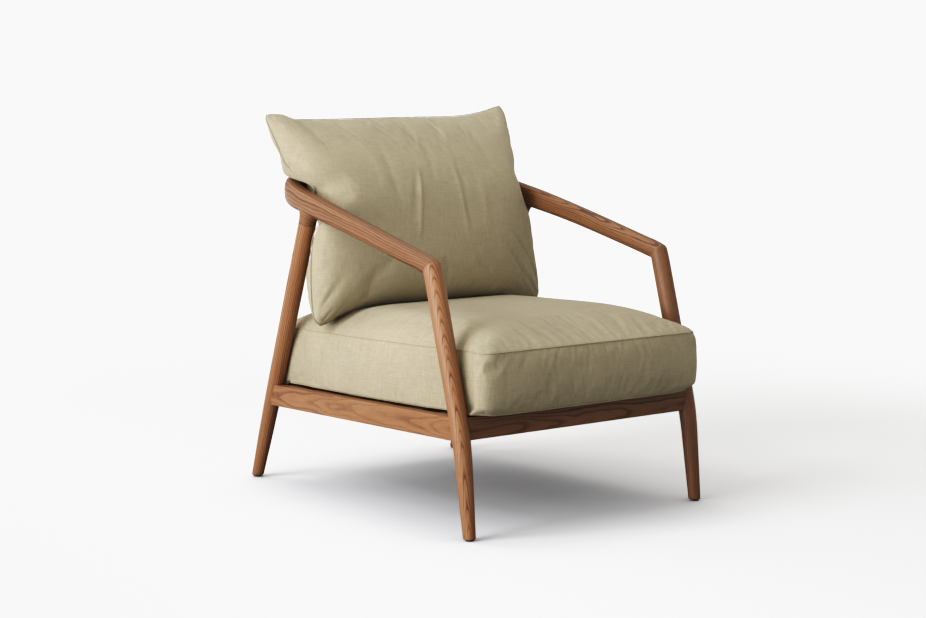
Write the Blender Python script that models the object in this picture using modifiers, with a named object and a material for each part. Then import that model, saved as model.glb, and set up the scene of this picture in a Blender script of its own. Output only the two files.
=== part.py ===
"""Wooden lounge armchair with loose seat and back cushions.

Metres, +Z up, front of the chair towards -Y, origin on the floor below the
middle of the chair.  The frame is turned and shaped hardwood: two bent front
legs mitred into two swept arms, two straight raked rear legs socketed under
the arms, a curved back rail dowelled between the arms, and four seat rails
tenoned into the legs.  Slats screwed to cleats carry a boxed seat cushion,
and a knife-edge back cushion leans on the back rail.
"""
import math

import bmesh
import bpy
from mathutils import Matrix, Vector

# ---------------------------------------------------------------- dimensions
Y_SHIFT = -0.42650           # moves the chair so that the origin is central
GAP = 0.0003                 # clearance between touching pieces
RING = 20                    # points round a leg or arm section

# front leg, drawn in a vertical plane: it bends gently at the seat rails
FRONT_LEG_X = 0.3345         # half the distance between front leg centres
FRONT_SLOPE_LOW = 0.1213     # rearward lean below the rails (dy/dz)
FRONT_SLOPE_HIGH = 0.282     # rearward lean above the rails
FRONT_BEND = (0.15, 0.27)    # heights between which the lean changes
FOOT_R = 0.0138
FRONT_RAIL_R = 0.0202        # leg radius at the seat rails
CORNER_R = 0.0212            # leg and arm radius at the front corner
LEG_BOTTOM = 0.0033          # the wood stops above the glide

# rear leg: straight, raked back and slightly splayed
REAR_FOOT = Vector((0.3097, 0.8748, 0.0))
REAR_TOP = Vector((0.3240, 0.6220, 0.6400))
REAR_R = ((0.0, 0.0141), (0.11, 0.0172), (0.20, 0.0188), (0.30, 0.0196),
          (0.52, 0.0208), (1.0, 0.0209))
SPIGOT_R = 0.0095
SPIGOT_L = 0.028

# arm and back rail centre line, right half: x, y, z, half width, half height,
# squareness of the section (2 is an ellipse)
ARM_RISE = 0.25              # dz/dy of the arm behind the front corner
ARM_LINE = (
    (0.3345, 0.1800, 0.5865, 0.0210, 0.0206, 2.1),
    (0.3345, 0.2400, 0.6015, 0.0206, 0.0206, 2.3),
    (0.3344, 0.3200, 0.6213, 0.0203, 0.0210, 2.5),
    (0.3336, 0.4000, 0.6408, 0.0202, 0.0216, 2.6),
    (0.3318, 0.4750, 0.6582, 0.0202, 0.0228, 2.7),
    (0.3290, 0.5450, 0.6735, 0.0203, 0.0243, 2.8),
    (0.3250, 0.6050, 0.6855, 0.0204, 0.0258, 2.8),
    (0.3190, 0.6550, 0.6953, 0.0202, 0.0274, 2.8),
    (0.3085, 0.6990, 0.7047, 0.0196, 0.0291, 2.7),
    (0.2905, 0.7345, 0.7122, 0.0188, 0.0308, 2.7),
    (0.2640, 0.7565, 0.7165, 0.0176, 0.0315, 2.7),
    (0.2300, 0.7690, 0.7190, 0.0164, 0.0315, 2.7),
    (0.1930, 0.7768, 0.7205, 0.0156, 0.0312, 2.7),
    (0.1500, 0.7825, 0.7215, 0.0149, 0.0310, 2.7),
    (0.1000, 0.7866, 0.7221, 0.0144, 0.0308, 2.7),
    (0.0500, 0.7889, 0.7224, 0.0141, 0.0306, 2.7),
    (0.0000, 0.7896, 0.7225, 0.0140, 0.0306, 2.7),
)
JOINT_INDEX = 12             # the arm meets the back rail at this station
DOWEL_R = 0.004
DOWEL_L = 0.036
DOWEL_SPREAD = 0.0125

# seat rails
RAIL_T = 0.027
RAIL_H = 0.050
FRONT_RAIL_Z = 0.2108        # underside of the front rail
SIDE_RAKE = -0.0250          # dz/dy of the side rails
SIDE_RAIL_Z = 0.2100         # underside of the side rails at the front leg
TENON_T = 0.0120
TENON_H = 0.0320
TENON_STOP = 0.0072          # tenons stop this far from the leg's centre line

# seat deck
SLAT_COUNT = 6
SLAT_W = 0.066
SLAT_T = 0.014
SLAT_DROP = 0.0012           # slats sit this far below the rail tops
CLEAT_T = 0.020
CLEAT_H = 0.022
SCREW_R = 0.0020
SCREW_HEAD_R = 0.0042

# cushions
SEAT_FRONT_Y = -0.0360
SEAT_REAR_Y = 0.7950
SEAT_SIDE_H = 0.140
SEAT_CROWN = 0.067
# half width of the seat cushion from front to rear: it spreads in front of the
# front legs, is held in by them, and is held in again by the rear legs
SEAT_WIDTH = ((-0.0360, 0.3270), (0.0000, 0.3260), (0.0150, 0.3115), (0.1150, 0.3115),
              (0.1700, 0.3190), (0.4500, 0.3190), (0.6300, 0.3060), (0.6800, 0.2950),
              (0.7950, 0.2945))
# the back cushion's seam plane: height, rearward position, half width,
# squareness of its level section and half thickness
BACK_SHAPE = (
    (0.4240, 0.5850, 0.3420, 2.4, 0.100),
    (0.4700, 0.5950, 0.3420, 2.6, 0.104),
    (0.5300, 0.6030, 0.3380, 3.0, 0.106),
    (0.5800, 0.6100, 0.3180, 4.0, 0.106),
    (0.6200, 0.6200, 0.2980, 6.0, 0.106),
    (0.6800, 0.6380, 0.2900, 7.0, 0.106),
    (0.7200, 0.6500, 0.2830, 6.0, 0.104),
    (0.7600, 0.6750, 0.2890, 4.0, 0.100),
    (0.7900, 0.6920, 0.3340, 3.0, 0.098),
    (0.8400, 0.7180, 0.3480, 2.5, 0.096),
    (0.9060, 0.7515, 0.3550, 2.3, 0.092),
)

GLIDE_R = 0.0095
GLIDE_T = 0.0030

# ------------------------------------------------------------- scene set-up
for old in list(bpy.data.objects):
    bpy.data.objects.remove(old, do_unlink=True)

root = bpy.context.scene.collection
chair = bpy.data.collections.new("wooden_armchair")
cutters = bpy.data.collections.new("wooden_armchair_cutters")
root.children.link(chair)
root.children.link(cutters)


def finish_material(name, colour, roughness, metallic=0.0):
    mat = bpy.data.materials.new(name)
    mat.use_nodes = True
    bsdf = mat.node_tree.nodes["Principled BSDF"]
    bsdf.inputs["Base Color"].default_value = (*colour, 1.0)
    bsdf.inputs["Roughness"].default_value = roughness
    bsdf.inputs["Metallic"].default_value = metallic
    return mat


WALNUT = ((0.30, 0.135, 0.062), 0.42)
BEECH = ((0.55, 0.40, 0.25), 0.55)
LINEN = ((0.42, 0.37, 0.25), 0.90)
STEEL = ((0.60, 0.58, 0.50), 0.35)
NYLON = ((0.05, 0.045, 0.04), 0.60)


def place(mesh, name, finish, collection=chair, smooth=True):
    obj = bpy.data.objects.new(name, mesh)
    collection.objects.link(obj)
    if collection is cutters:
        obj.hide_render = True
        obj.display_type = "WIRE"
    else:
        metal = 1.0 if finish is STEEL else 0.0
        mesh.materials.clear()
        mesh.materials.append(finish_material(name, finish[0], finish[1], metal))
        if smooth:
            mesh.shade_smooth()
            mesh.set_sharp_from_angle(angle=math.radians(35))
    return obj


def cut(obj, cutter, operation="DIFFERENCE"):
    mod = obj.modifiers.new(cutter.name, "BOOLEAN")
    mod.operation = operation
    mod.object = cutter
    mod.solver = "EXACT"
    return mod


def shifted(point):
    return Vector((point[0], point[1] + Y_SHIFT, point[2]))


def frame_matrix(origin, x_axis, y_axis, z_axis):
    m = Matrix((x_axis, y_axis, z_axis)).transposed().to_4x4()
    m.translation = origin
    return m


def box(name, size, matrix, finish=None, collection=chair, bevel=0.0, segments=2):
    """A rectangular bar of the given size, placed by a matrix."""
    bm = bmesh.new()
    bmesh.ops.create_cube(bm, size=1.0)
    bmesh.ops.scale(bm, vec=size, verts=bm.verts)
    mesh = bpy.data.meshes.new(name)
    bm.to_mesh(mesh)
    bm.free()
    obj = place(mesh, name, finish, collection)
    obj.matrix_world = matrix
    if bevel:
        mod = obj.modifiers.new("edges", "BEVEL")
        mod.width = bevel
        mod.segments = segments
        mod.limit_method = "ANGLE"
    return obj


def rod(name, radius, length, matrix, finish=None, collection=chair, sides=16):
    """A round bar along the matrix's Z axis, centred on its origin."""
    bm = bmesh.new()
    bmesh.ops.create_cone(bm, cap_ends=True, segments=sides, radius1=radius,
                          radius2=radius, depth=length)
    mesh = bpy.data.meshes.new(name)
    bm.to_mesh(mesh)
    bm.free()
    obj = place(mesh, name, finish, collection)
    obj.matrix_world = matrix
    return obj


def face_outward(bm):
    """Turns the faces of a closed body to point out of it."""
    bmesh.ops.recalc_face_normals(bm, faces=bm.faces)
    if bm.calc_volume(signed=True) < 0:
        bmesh.ops.reverse_faces(bm, faces=bm.faces)


def loft(name, rings, finish=None, collection=chair):
    """A closed skin through rings of equal point counts, capped at both ends."""
    bm = bmesh.new()
    rows = [[bm.verts.new(p) for p in ring] for ring in rings]
    count = len(rings[0])
    for lower, upper in zip(rows, rows[1:]):
        for i in range(count):
            j = (i + 1) % count
            bm.faces.new((lower[i], lower[j], upper[j], upper[i]))
    bm.faces.new(list(reversed(rows[0])))
    bm.faces.new(rows[-1])
    face_outward(bm)
    mesh = bpy.data.meshes.new(name)
    bm.to_mesh(mesh)
    bm.free()
    return place(mesh, name, finish, collection)


def turned(name, profile, matrix, finish=None, collection=chair, sides=20):
    """A turned piece: (radius, height) pairs from the top centre down."""
    bm = bmesh.new()
    points = [bm.verts.new((r, 0.0, z)) for r, z in profile]
    for a, b in zip(points, points[1:]):
        bm.edges.new((a, b))
    mesh = bpy.data.meshes.new(name)
    bm.to_mesh(mesh)
    bm.free()
    obj = place(mesh, name, finish, collection)
    mod = obj.modifiers.new("turning", "SCREW")
    mod.axis = "Z"
    mod.steps = sides
    mod.render_steps = sides
    mod.use_merge_vertices = True
    mod.merge_threshold = 0.00001
    mod.use_smooth_shade = False
    obj.matrix_world = matrix
    return obj


def smoothstep(t):
    t = max(0.0, min(1.0, t))
    return t * t * (3.0 - 2.0 * t)


def along(table, t):
    """Linear reading of a ((position, value), ...) table."""
    for (t0, v0), (t1, v1) in zip(table, table[1:]):
        if t <= t1:
            return v0 + (v1 - v0) * (t - t0) / (t1 - t0)
    return table[-1][1]


# ------------------------------------------------------------- front corner
def front_centre(z):
    """Rearward position of the front leg's centre line at a height."""
    low, high = FRONT_BEND
    if z <= low:
        return FRONT_SLOPE_LOW * z
    if z >= high:
        bend = (FRONT_SLOPE_LOW + FRONT_SLOPE_HIGH) / 2 * (high - low)
        return FRONT_SLOPE_LOW * low + bend + FRONT_SLOPE_HIGH * (z - high)
    s = (z - low) / (high - low)
    rise = (FRONT_SLOPE_HIGH - FRONT_SLOPE_LOW) * s * s / 2 * (high - low)
    return FRONT_SLOPE_LOW * z + rise


def front_slope(z):
    low, high = FRONT_BEND
    s = max(0.0, min(1.0, (z - low) / (high - low)))
    return FRONT_SLOPE_LOW + (FRONT_SLOPE_HIGH - FRONT_SLOPE_LOW) * s


def front_radius(z):
    if z < 0.21:
        return FOOT_R + (FRONT_RAIL_R - FOOT_R) * (z / 0.21) ** 0.9
    return FRONT_RAIL_R + (CORNER_R - FRONT_RAIL_R) * smoothstep((z - 0.21) / 0.26)


# the arm's lower straight passes through its first station
ARM_Y0, ARM_Z0 = ARM_LINE[0][1], ARM_LINE[0][2]
_b = FRONT_BEND[1]
_num = ARM_Z0 + ARM_RISE * (front_centre(_b) - FRONT_SLOPE_HIGH * _b - ARM_Y0)
CORNER_Z = _num / (1.0 - ARM_RISE * FRONT_SLOPE_HIGH)
CORNER_Y = front_centre(CORNER_Z)

LEG_UP = Vector((0.0, FRONT_SLOPE_HIGH, 1.0)).normalized()
ARM_BACK = Vector((0.0, 1.0, ARM_RISE)).normalized()
LEG_OUT = Vector((0.0, -LEG_UP.z, LEG_UP.y))
ARM_OUT = Vector((0.0, -ARM_BACK.z, ARM_BACK.y))
MITRE_N = (LEG_UP + ARM_BACK).normalized()
MITRE_OUT = (LEG_OUT + ARM_OUT).normalized()
HALF_TURN = math.tan(LEG_UP.angle(ARM_BACK) / 2)
CORNER_ROUND = 0.0034        # how far the outer corner is eased
CORNER_REACH = 0.030


def corner_ring(side, axis, outward, back_off, gap_side):
    """A ring of the front corner, back_off metres before the mitre."""
    blend = 1.0 - back_off / CORNER_REACH
    centre = Vector((side * FRONT_LEG_X, CORNER_Y, CORNER_Z))
    ring = []
    for i in range(RING):
        angle = 2 * math.pi * i / RING
        x = CORNER_R * math.cos(angle)
        u = CORNER_R * math.sin(angle)
        point = centre + Vector((x, 0, 0)) + outward * u
        point += axis * (u * HALF_TURN * blend - back_off)
        ease = max(0.0, math.sin(angle)) ** 2 * blend ** 2.2
        point -= MITRE_OUT * (CORNER_ROUND * ease)
        if back_off == 0.0:
            point += MITRE_N * (gap_side * GAP / 2)
        ring.append(shifted(point))
    return ring


def front_leg(side, name):
    rings = []
    stations = [LEG_BOTTOM, 0.035, 0.075, 0.115, 0.150, 0.175, 0.195, 0.215,
                0.235, 0.255, 0.275, 0.32, 0.38, 0.44, 0.50]
    for z in stations:
        up = Vector((0.0, front_slope(z), 1.0)).normalized()
        if z == LEG_BOTTOM:
            up = Vector((0, 0, 1))
        out = Vector((0.0, -up.z, up.y))
        centre = Vector((side * FRONT_LEG_X, front_centre(z), z))
        r = front_radius(z)
        rings.append([shifted(centre + Vector((r * math.cos(a), 0, 0)) + out * (r * math.sin(a)))
                      for a in (2 * math.pi * i / RING for i in range(RING))])
    for back_off in (0.030, 0.020, 0.0125, 0.0065, 0.0025, 0.0):
        rings.append(corner_ring(side, LEG_UP, LEG_OUT, back_off, -1))
    return loft(name, rings, WALNUT)


# ------------------------------------------------------------------ the arms
def smooth_line(rows, per_span):
    """Catmull-Rom reading of the station table."""
    out = []
    n = len(rows)
    for k in range(n - 1):
        p0 = rows[k - 1] if k else [2 * a - b for a, b in zip(rows[0], rows[1])]
        p1, p2 = rows[k], rows[k + 1]
        if k + 2 < n:
            p3 = rows[k + 2]
        else:
            p3 = (-rows[n - 2][0],) + tuple(rows[n - 2][1:])
        for s in range(per_span):
            t = s / per_span
            out.append(tuple(
                0.5 * (2 * b + (c - a) * t + (2 * a - 5 * b + 4 * c - d) * t * t
                       + (3 * b - a - 3 * c + d) * t ** 3)
                for a, b, c, d in zip(p0, p1, p2, p3)))
    out.append(tuple(rows[-1]))
    return out


def section(centre, tangent, half_w, half_h, power, flip):
    """Superellipse ring; it starts on the +X side and goes up and over."""
    level = Vector((0, 0, 1)).cross(tangent).normalized() * flip
    upward = tangent.cross(level).normalized()
    if upward.z < 0:
        upward = -upward
    ring = []
    for i in range(RING):
        a = 2 * math.pi * i / RING
        c, s = math.cos(a), math.sin(a)
        x = math.copysign(abs(c) ** (2 / power), c) * half_w
        z = math.copysign(abs(s) ** (2 / power), s) * half_h
        ring.append(centre + level * x + upward * z)
    return ring


LINE = smooth_line(ARM_LINE, 2)
JOINT = JOINT_INDEX * 2


def line_point(side, k):
    return Vector((side * LINE[k][0], LINE[k][1], LINE[k][2]))


def line_tangent(side, k):
    if k == 0:
        return Vector((0, ARM_BACK.y, ARM_BACK.z))
    if k == len(LINE) - 1:
        return Vector((-side, 0, 0))
    return (line_point(side, k + 1) - line_point(side, k - 1)).normalized()


def arm(side, name):
    rings = []
    for back_off in (0.0, 0.0025, 0.0065, 0.0125, 0.020, 0.030):
        rings.append(corner_ring(side, -ARM_BACK, ARM_OUT, back_off, 1))
    for k in range(JOINT + 1):
        centre = line_point(side, k)
        tangent = line_tangent(side, k)
        if k == JOINT:
            centre -= tangent * (GAP / 2)
        ring = section(centre, tangent, *LINE[k][3:6], flip=-1)
        rings.append([shifted(p) for p in ring])
    return loft(name, rings, WALNUT)


def back_rail(name):
    rings = []
    last = len(LINE) - 1
    order = [(-1, k) for k in range(JOINT, last)] + [(1, k) for k in range(last, JOINT - 1, -1)]
    for side, k in order:
        centre = line_point(side, k)
        tangent = line_tangent(side, k)
        if k == last:
            tangent = Vector((-1, 0, 0))
        if k == JOINT:
            centre += tangent * (GAP / 2)
        if side == -1 and k != last:
            tangent = -tangent
        ring = section(centre, tangent, *LINE[k][3:6], flip=-1)
        rings.append([shifted(p) for p in ring])
    return loft(name, rings, WALNUT)


# --------------------------------------------------------------- rear legs
def rear_axis(side):
    foot = Vector((side * REAR_FOOT.x, REAR_FOOT.y, REAR_FOOT.z))
    top = Vector((side * REAR_TOP.x, REAR_TOP.y, REAR_TOP.z))
    return foot, (top - foot).normalized(), (top - foot).length


def rear_point(side, z):
    foot, axis, _ = rear_axis(side)
    return foot + axis * (z / axis.z)


def leg_matrix(side, origin):
    _, axis, _ = rear_axis(side)
    x_axis = Vector((0, 1, 0)).cross(axis).normalized()
    y_axis = axis.cross(x_axis)
    return frame_matrix(shifted(origin), x_axis, y_axis, axis)


def rear_profile(side, grow=0.0, spigot=True):
    _, _, length = rear_axis(side)
    heights = (length - GAP / 2, 0.60, 0.52, 0.42, 0.30, 0.25, 0.20, 0.155, 0.11, 0.06, -0.02)
    outline = []
    if spigot:
        top = length + SPIGOT_L
        outline += [(0.0, top), (SPIGOT_R - 0.001, top), (SPIGOT_R, top - 0.001),
                    (SPIGOT_R, length - GAP / 2)]
        outline += [(along(REAR_R, h) + grow, h) for h in heights]
    else:
        outline += [(0.0, length)] + [(along(REAR_R, h) + grow, h) for h in heights]
    outline.append((0.0, -0.02))
    return outline


def rear_leg(side, name):
    foot, _, _ = rear_axis(side)
    obj = turned(name, rear_profile(side), leg_matrix(side, foot), WALNUT, sides=RING)
    return obj


def rear_cutter(side, name):
    foot, _, _ = rear_axis(side)
    return turned(name, rear_profile(side, GAP, False), leg_matrix(side, foot),
                  collection=cutters, sides=RING)


def front_cutter(side, name):
    rings = []
    for z in (0.10, 0.15, 0.175, 0.195, 0.215, 0.235, 0.255, 0.275, 0.32, 0.38):
        up = Vector((0.0, front_slope(z), 1.0)).normalized()
        out = Vector((0.0, -up.z, up.y))
        centre = Vector((side * FRONT_LEG_X, front_centre(z), z))
        r = front_radius(z) + GAP
        rings.append([shifted(centre + Vector((r * math.cos(a), 0, 0)) + out * (r * math.sin(a)))
                      for a in (2 * math.pi * i / RING for i in range(RING))])
    return loft(name, rings, collection=cutters)


SIDES = ((-1, "left"), (1, "right"))
legs_front, legs_rear, arms = {}, {}, {}
for side, word in SIDES:
    legs_front[side] = front_leg(side, f"front_leg_{word}")
    legs_rear[side] = rear_leg(side, f"rear_leg_{word}")
    arms[side] = arm(side, f"arm_{word}")
top_rail = back_rail("back_rail")

# the rear feet are sawn level, parallel to the floor
floor_saw = box("floor_saw", (0.9, 0.2, 0.1),
                Matrix.Translation(shifted((0, 0.88, LEG_BOTTOM - 0.05))), collection=cutters)
for side, word in SIDES:
    cut(legs_rear[side], floor_saw)

# sockets under the arms: the wood flares out of the arm down to the rear leg
for side, word in SIDES:
    foot, axis, length = rear_axis(side)
    m = leg_matrix(side, foot)
    rings = []
    for s, rx, ry_front, ry_rear in (
            (GAP / 2, 0.0206, 0.0206, 0.0206), (0.006, 0.0206, 0.0210, 0.0212),
            (0.012, 0.0206, 0.0220, 0.0228), (0.018, 0.0205, 0.0240, 0.0262),
            (0.024, 0.0204, 0.0275, 0.0315), (0.030, 0.0202, 0.0330, 0.0385),
            (0.036, 0.0190, 0.0380, 0.0440), (0.044, 0.0150, 0.0300, 0.0380)):
        ring = []
        for i in range(RING):
            a = 2 * math.pi * i / RING
            ry = ry_rear if math.sin(a) > 0 else ry_front
            ring.append(m @ Vector((rx * math.cos(a), ry * math.sin(a), length + s)))
        rings.append(ring)
    stub = loft(f"socket_{word}", rings, collection=cutters)
    cut(arms[side], stub, "UNION")
    hole = rod(f"spigot_hole_{word}", SPIGOT_R + GAP, SPIGOT_L + 0.0016 + 0.01,
               m @ Matrix.Translation((0, 0, length + SPIGOT_L / 2 + 0.0008 - 0.005)),
               collection=cutters, sides=RING)
    cut(arms[side], hole)

# loose tenons hidden in the front mitres
for side, word in SIDES:
    centre = shifted((side * FRONT_LEG_X, CORNER_Y, CORNER_Z))
    m = frame_matrix(centre, Vector((1, 0, 0)), MITRE_OUT, Vector((1, 0, 0)).cross(MITRE_OUT))
    size = Vector((0.010, 0.017, 0.034))
    box(f"mitre_tenon_{word}", size, m, BEECH, bevel=0.001, segments=1)
    slot = box(f"mitre_mortise_{word}", size + Vector((2 * GAP,) * 3), m, collection=cutters)
    cut(legs_front[side], slot)
    cut(arms[side], slot)

# dowels between the arms and the back rail
for side, word in SIDES:
    centre = line_point(side, JOINT)
    tangent = line_tangent(side, JOINT)
    level = Vector((0, 0, 1)).cross(tangent).normalized()
    upward = tangent.cross(level).normalized()
    for sign, place_word in ((1, "upper"), (-1, "lower")):
        p = shifted(centre + upward * (sign * DOWEL_SPREAD))
        m = frame_matrix(p, level, upward, level.cross(upward))
        rod(f"back_dowel_{word}_{place_word}", DOWEL_R, DOWEL_L, m, BEECH, sides=12)
        hole = rod(f"dowel_hole_{word}_{place_word}", DOWEL_R + GAP, DOWEL_L + 4 * GAP, m,
                   collection=cutters, sides=12)
        cut(arms[side], hole)
        cut(top_rail, hole)

# ------------------------------------------------------------- seat rails
front_cut = {side: front_cutter(side, f"front_leg_space_{word}") for side, word in SIDES}
rear_cut = {side: rear_cutter(side, f"rear_leg_space_{word}") for side, word in SIDES}


def rail(name, start, end, cut_start, cut_end, leg_start, leg_end):
    """A rail between two leg centres, coped to the legs, tenons left on."""
    start, end = Vector(start), Vector(end)
    run = (end - start).normalized()
    level = Vector((0, 0, 1)).cross(run).normalized()
    upward = run.cross(level).normalized()
    rotation = (level, run, level.cross(run)) if level.cross(run).z > 0 else (-level, run, -level.cross(run))
    middle = (start + end) / 2
    length = (end - start).length - 2 * TENON_STOP
    body = box(name, (RAIL_T, length, RAIL_H), frame_matrix(shifted(middle), *rotation),
               WALNUT, bevel=0.0022, segments=2)
    body["run_length"] = length
    for point, sign, space, leg, word in ((start, 1, cut_start, leg_start, "a"),
                                          (end, -1, cut_end, leg_end, "b")):
        centre = point + run * (sign * (TENON_STOP + 0.02))
        keep = box(f"{name}_tenon_{word}", (TENON_T, 0.05, TENON_H),
                   frame_matrix(shifted(centre), *rotation), collection=cutters)
        shoulder = bpy.data.objects.new(f"{name}_cope_{word}", space.data.copy())
        cutters.objects.link(shoulder)
        shoulder.hide_render = True
        shoulder.display_type = "WIRE"
        shoulder.matrix_world = space.matrix_world.copy()
        for mod in space.modifiers:
            if mod.type == "SCREW":
                copy = shoulder.modifiers.new("turning", "SCREW")
                copy.axis = "Z"
                copy.steps = copy.render_steps = mod.steps
                copy.use_merge_vertices = True
                copy.merge_threshold = 0.00001
                copy.use_smooth_shade = False
        cut(shoulder, keep)
        cut(body, shoulder)
        slot_at = point + run * (sign * (TENON_STOP + 0.02 - GAP))
        slot = box(f"{name}_mortise_{word}", (TENON_T + 2 * GAP, 0.04, TENON_H + 2 * GAP),
                   frame_matrix(shifted(slot_at), *rotation), collection=cutters)
        cut(leg, slot)
    return body, start, run, rotation


def front_point(side, z):
    return Vector((side * FRONT_LEG_X, front_centre(z), z))


front_mid = FRONT_RAIL_Z + RAIL_H / 2
cross_front = rail("front_rail", front_point(-1, front_mid), front_point(1, front_mid),
     front_cut[-1], front_cut[1], legs_front[-1], legs_front[1])

side_mid = SIDE_RAIL_Z + RAIL_H / 2
side_rails = {}
for side, word in SIDES:
    a = front_point(side, side_mid)
    z = side_mid
    for _ in range(8):
        b = rear_point(side, z)
        z = side_mid + SIDE_RAKE * (b.y - a.y)
    side_rails[side] = rail(f"side_rail_{word}", a, b, front_cut[side], rear_cut[side],
                            legs_front[side], legs_rear[side])
rear_mid = z + 0.0005
cross_rear = rail("rear_rail", rear_point(-1, rear_mid), rear_point(1, rear_mid),
     rear_cut[-1], rear_cut[1], legs_rear[-1], legs_rear[1])

# the cross rails are relieved where the raked side rails pass their corners
for side, word in SIDES:
    rail_body = side_rails[side][0]
    room = box(f"side_rail_space_{word}", (RAIL_T + 2 * GAP, rail_body["run_length"] + 2 * GAP,
                                           RAIL_H + 2 * GAP),
               rail_body.matrix_world.copy(), collection=cutters)
    cut(cross_front[0], room)
    cut(cross_rear[0], room)

# ------------------------------------------------------------- seat deck
DECK_Y0 = front_centre(side_mid)
RAKE = Vector((0, 1, SIDE_RAKE)).normalized()
RAKE_UP = Vector((0, -RAKE.z, RAKE.y))


def rail_centre_x(y):
    front_y = front_centre(side_mid)
    rear = rear_point(1, rear_mid)
    return FRONT_LEG_X + (rear.x - FRONT_LEG_X) * (y - front_y) / (rear.y - front_y)


def rail_top_z(y):
    return side_mid + RAIL_H / 2 + SIDE_RAKE * (y - DECK_Y0)


SLAT_Y = [0.106 + k * (0.722 - 0.106) / (SLAT_COUNT - 1) for k in range(SLAT_COUNT)]
CLEAT_DROP = SLAT_DROP + SLAT_T + GAP
cleats = {}
for side, word in SIDES:
    _, start, run, rotation = side_rails[side]
    inward = Vector((-side, 0, 0))
    inward = (inward - run * inward.dot(run)).normalized()
    up = Vector(rotation[2])
    middle_y = 0.414
    t = (middle_y - start.y) / run.y
    centre = start + run * t + inward * (RAIL_T / 2 + GAP + CLEAT_T / 2)
    centre += up * (RAIL_H / 2 - CLEAT_DROP - CLEAT_H / 2)
    cleats[side] = box(f"slat_cleat_{word}", (CLEAT_T, 0.628, CLEAT_H),
                       frame_matrix(shifted(centre), *rotation), BEECH, bevel=0.0015, segments=1)
    for n, y in enumerate((0.16, 0.414, 0.668)):
        t = (y - start.y) / run.y
        p = start + run * t + up * (RAIL_H / 2 - CLEAT_DROP - CLEAT_H / 2)
        head_at = p + inward * (RAIL_T / 2 + GAP + CLEAT_T)
        m = frame_matrix(shifted(head_at), run, inward.cross(run), inward)
        turned(f"cleat_screw_{word}_{n + 1}",
               [(0, -0.0004), (SCREW_HEAD_R, -0.0004), (SCREW_R, -0.0030),
                (SCREW_R, -0.0290), (0, -0.0325)], m, STEEL, sides=10)
        hole = turned(f"cleat_screw_hole_{word}_{n + 1}",
                      [(0, 0.002), (SCREW_HEAD_R + 2 * GAP, 0.002), (SCREW_HEAD_R + 2 * GAP, -0.0008),
                       (SCREW_R + GAP, -0.0036), (SCREW_R + GAP, -0.0334), (0, -0.0334)],
                      m, collection=cutters, sides=10)
        cut(cleats[side], hole)
        cut(side_rails[side][0], hole)

for n, y in enumerate(SLAT_Y):
    half = rail_centre_x(y) - RAIL_T / 2 - 0.0016
    centre = Vector((0, y, rail_top_z(y))) - RAKE_UP * (SLAT_DROP + SLAT_T / 2)
    m = frame_matrix(shifted(centre), Vector((1, 0, 0)), RAKE, RAKE_UP)
    slat = box(f"seat_slat_{n + 1}", (2 * half, SLAT_W, SLAT_T), m, BEECH, bevel=0.002, segments=1)
    for side, word in SIDES:
        hx = side * (half - 0.010)
        hm = m @ Matrix.Translation((hx, 0, SLAT_T / 2))
        turned(f"slat_screw_{n + 1}_{word}",
               [(0, -0.0005), (SCREW_HEAD_R, -0.0005), (SCREW_R, -0.0030),
                (SCREW_R, -0.0290), (0, -0.0320)], hm, STEEL, sides=8)
        hole = turned(f"slat_screw_hole_{n + 1}_{word}",
                      [(0, 0.002), (SCREW_HEAD_R + 2 * GAP, 0.002), (SCREW_HEAD_R + 2 * GAP, -0.0009),
                       (SCREW_R + GAP, -0.0036), (SCREW_R + GAP, -0.0328), (0, -0.0328)],
                      hm, collection=cutters, sides=8)
        cut(slat, hole)
        cut(cleats[side], hole)

# corner blocks: mitred braces glued inside the rail corners, below the slats
BLOCK_H = 0.0300
BLOCK_LONG = 0.070
BLOCK_SHORT = 0.040
for side, word in SIDES:
    for end, end_word in ((1, "front"), (-1, "rear")):
        cross_y = (front_centre(front_mid) if end == 1 else rear_point(1, rear_mid).y)
        face_y = cross_y + end * (RAIL_T / 2 + 0.0012)
        def inner_x(y, extra=0.0010):
            return side * (rail_centre_x(y) - RAIL_T / 2 - extra)
        far, near = face_y + end * BLOCK_LONG, face_y + end * BLOCK_SHORT
        corner_x = inner_x(face_y)
        outline = [(inner_x(far), far), (inner_x(near), near),
                   (corner_x - side * BLOCK_SHORT, face_y), (corner_x - side * BLOCK_LONG, face_y)]
        curve = bpy.data.curves.new(f"corner_block_outline_{end_word}_{word}", "CURVE")
        curve.dimensions = "2D"
        curve.fill_mode = "BOTH"
        curve.extrude = BLOCK_H / 2
        spline = curve.splines.new("POLY")
        spline.points.add(3)
        for point, (x, y) in zip(spline.points, outline):
            point.co = (x, y + Y_SHIFT, 0, 1)
        spline.use_cyclic_u = True
        holder = bpy.data.objects.new("outline", curve)
        chair.objects.link(holder)
        mid_z = rail_top_z(far) - SLAT_DROP - SLAT_T - 0.0022 - BLOCK_H / 2
        holder.location = (0, 0, mid_z)
        bpy.context.view_layer.update()
        graph = bpy.context.evaluated_depsgraph_get()
        mesh = bpy.data.meshes.new_from_object(holder.evaluated_get(graph))
        bm = bmesh.new()
        bm.from_mesh(mesh)
        bmesh.ops.remove_doubles(bm, verts=bm.verts, dist=0.00001)
        face_outward(bm)
        bm.to_mesh(mesh)
        bm.free()
        block = place(mesh, f"corner_block_{end_word}_{word}", BEECH, smooth=False)
        block.matrix_world = holder.matrix_world.copy()
        bpy.data.objects.remove(holder, do_unlink=True)
        cleats_gap = box(f"cleat_space_{end_word}_{word}", (CLEAT_T + 0.0016, 0.6296, CLEAT_H + 0.0016),
                         cleats[side].matrix_world.copy(), collection=cutters)
        cut(block, cleats_gap)

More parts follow.
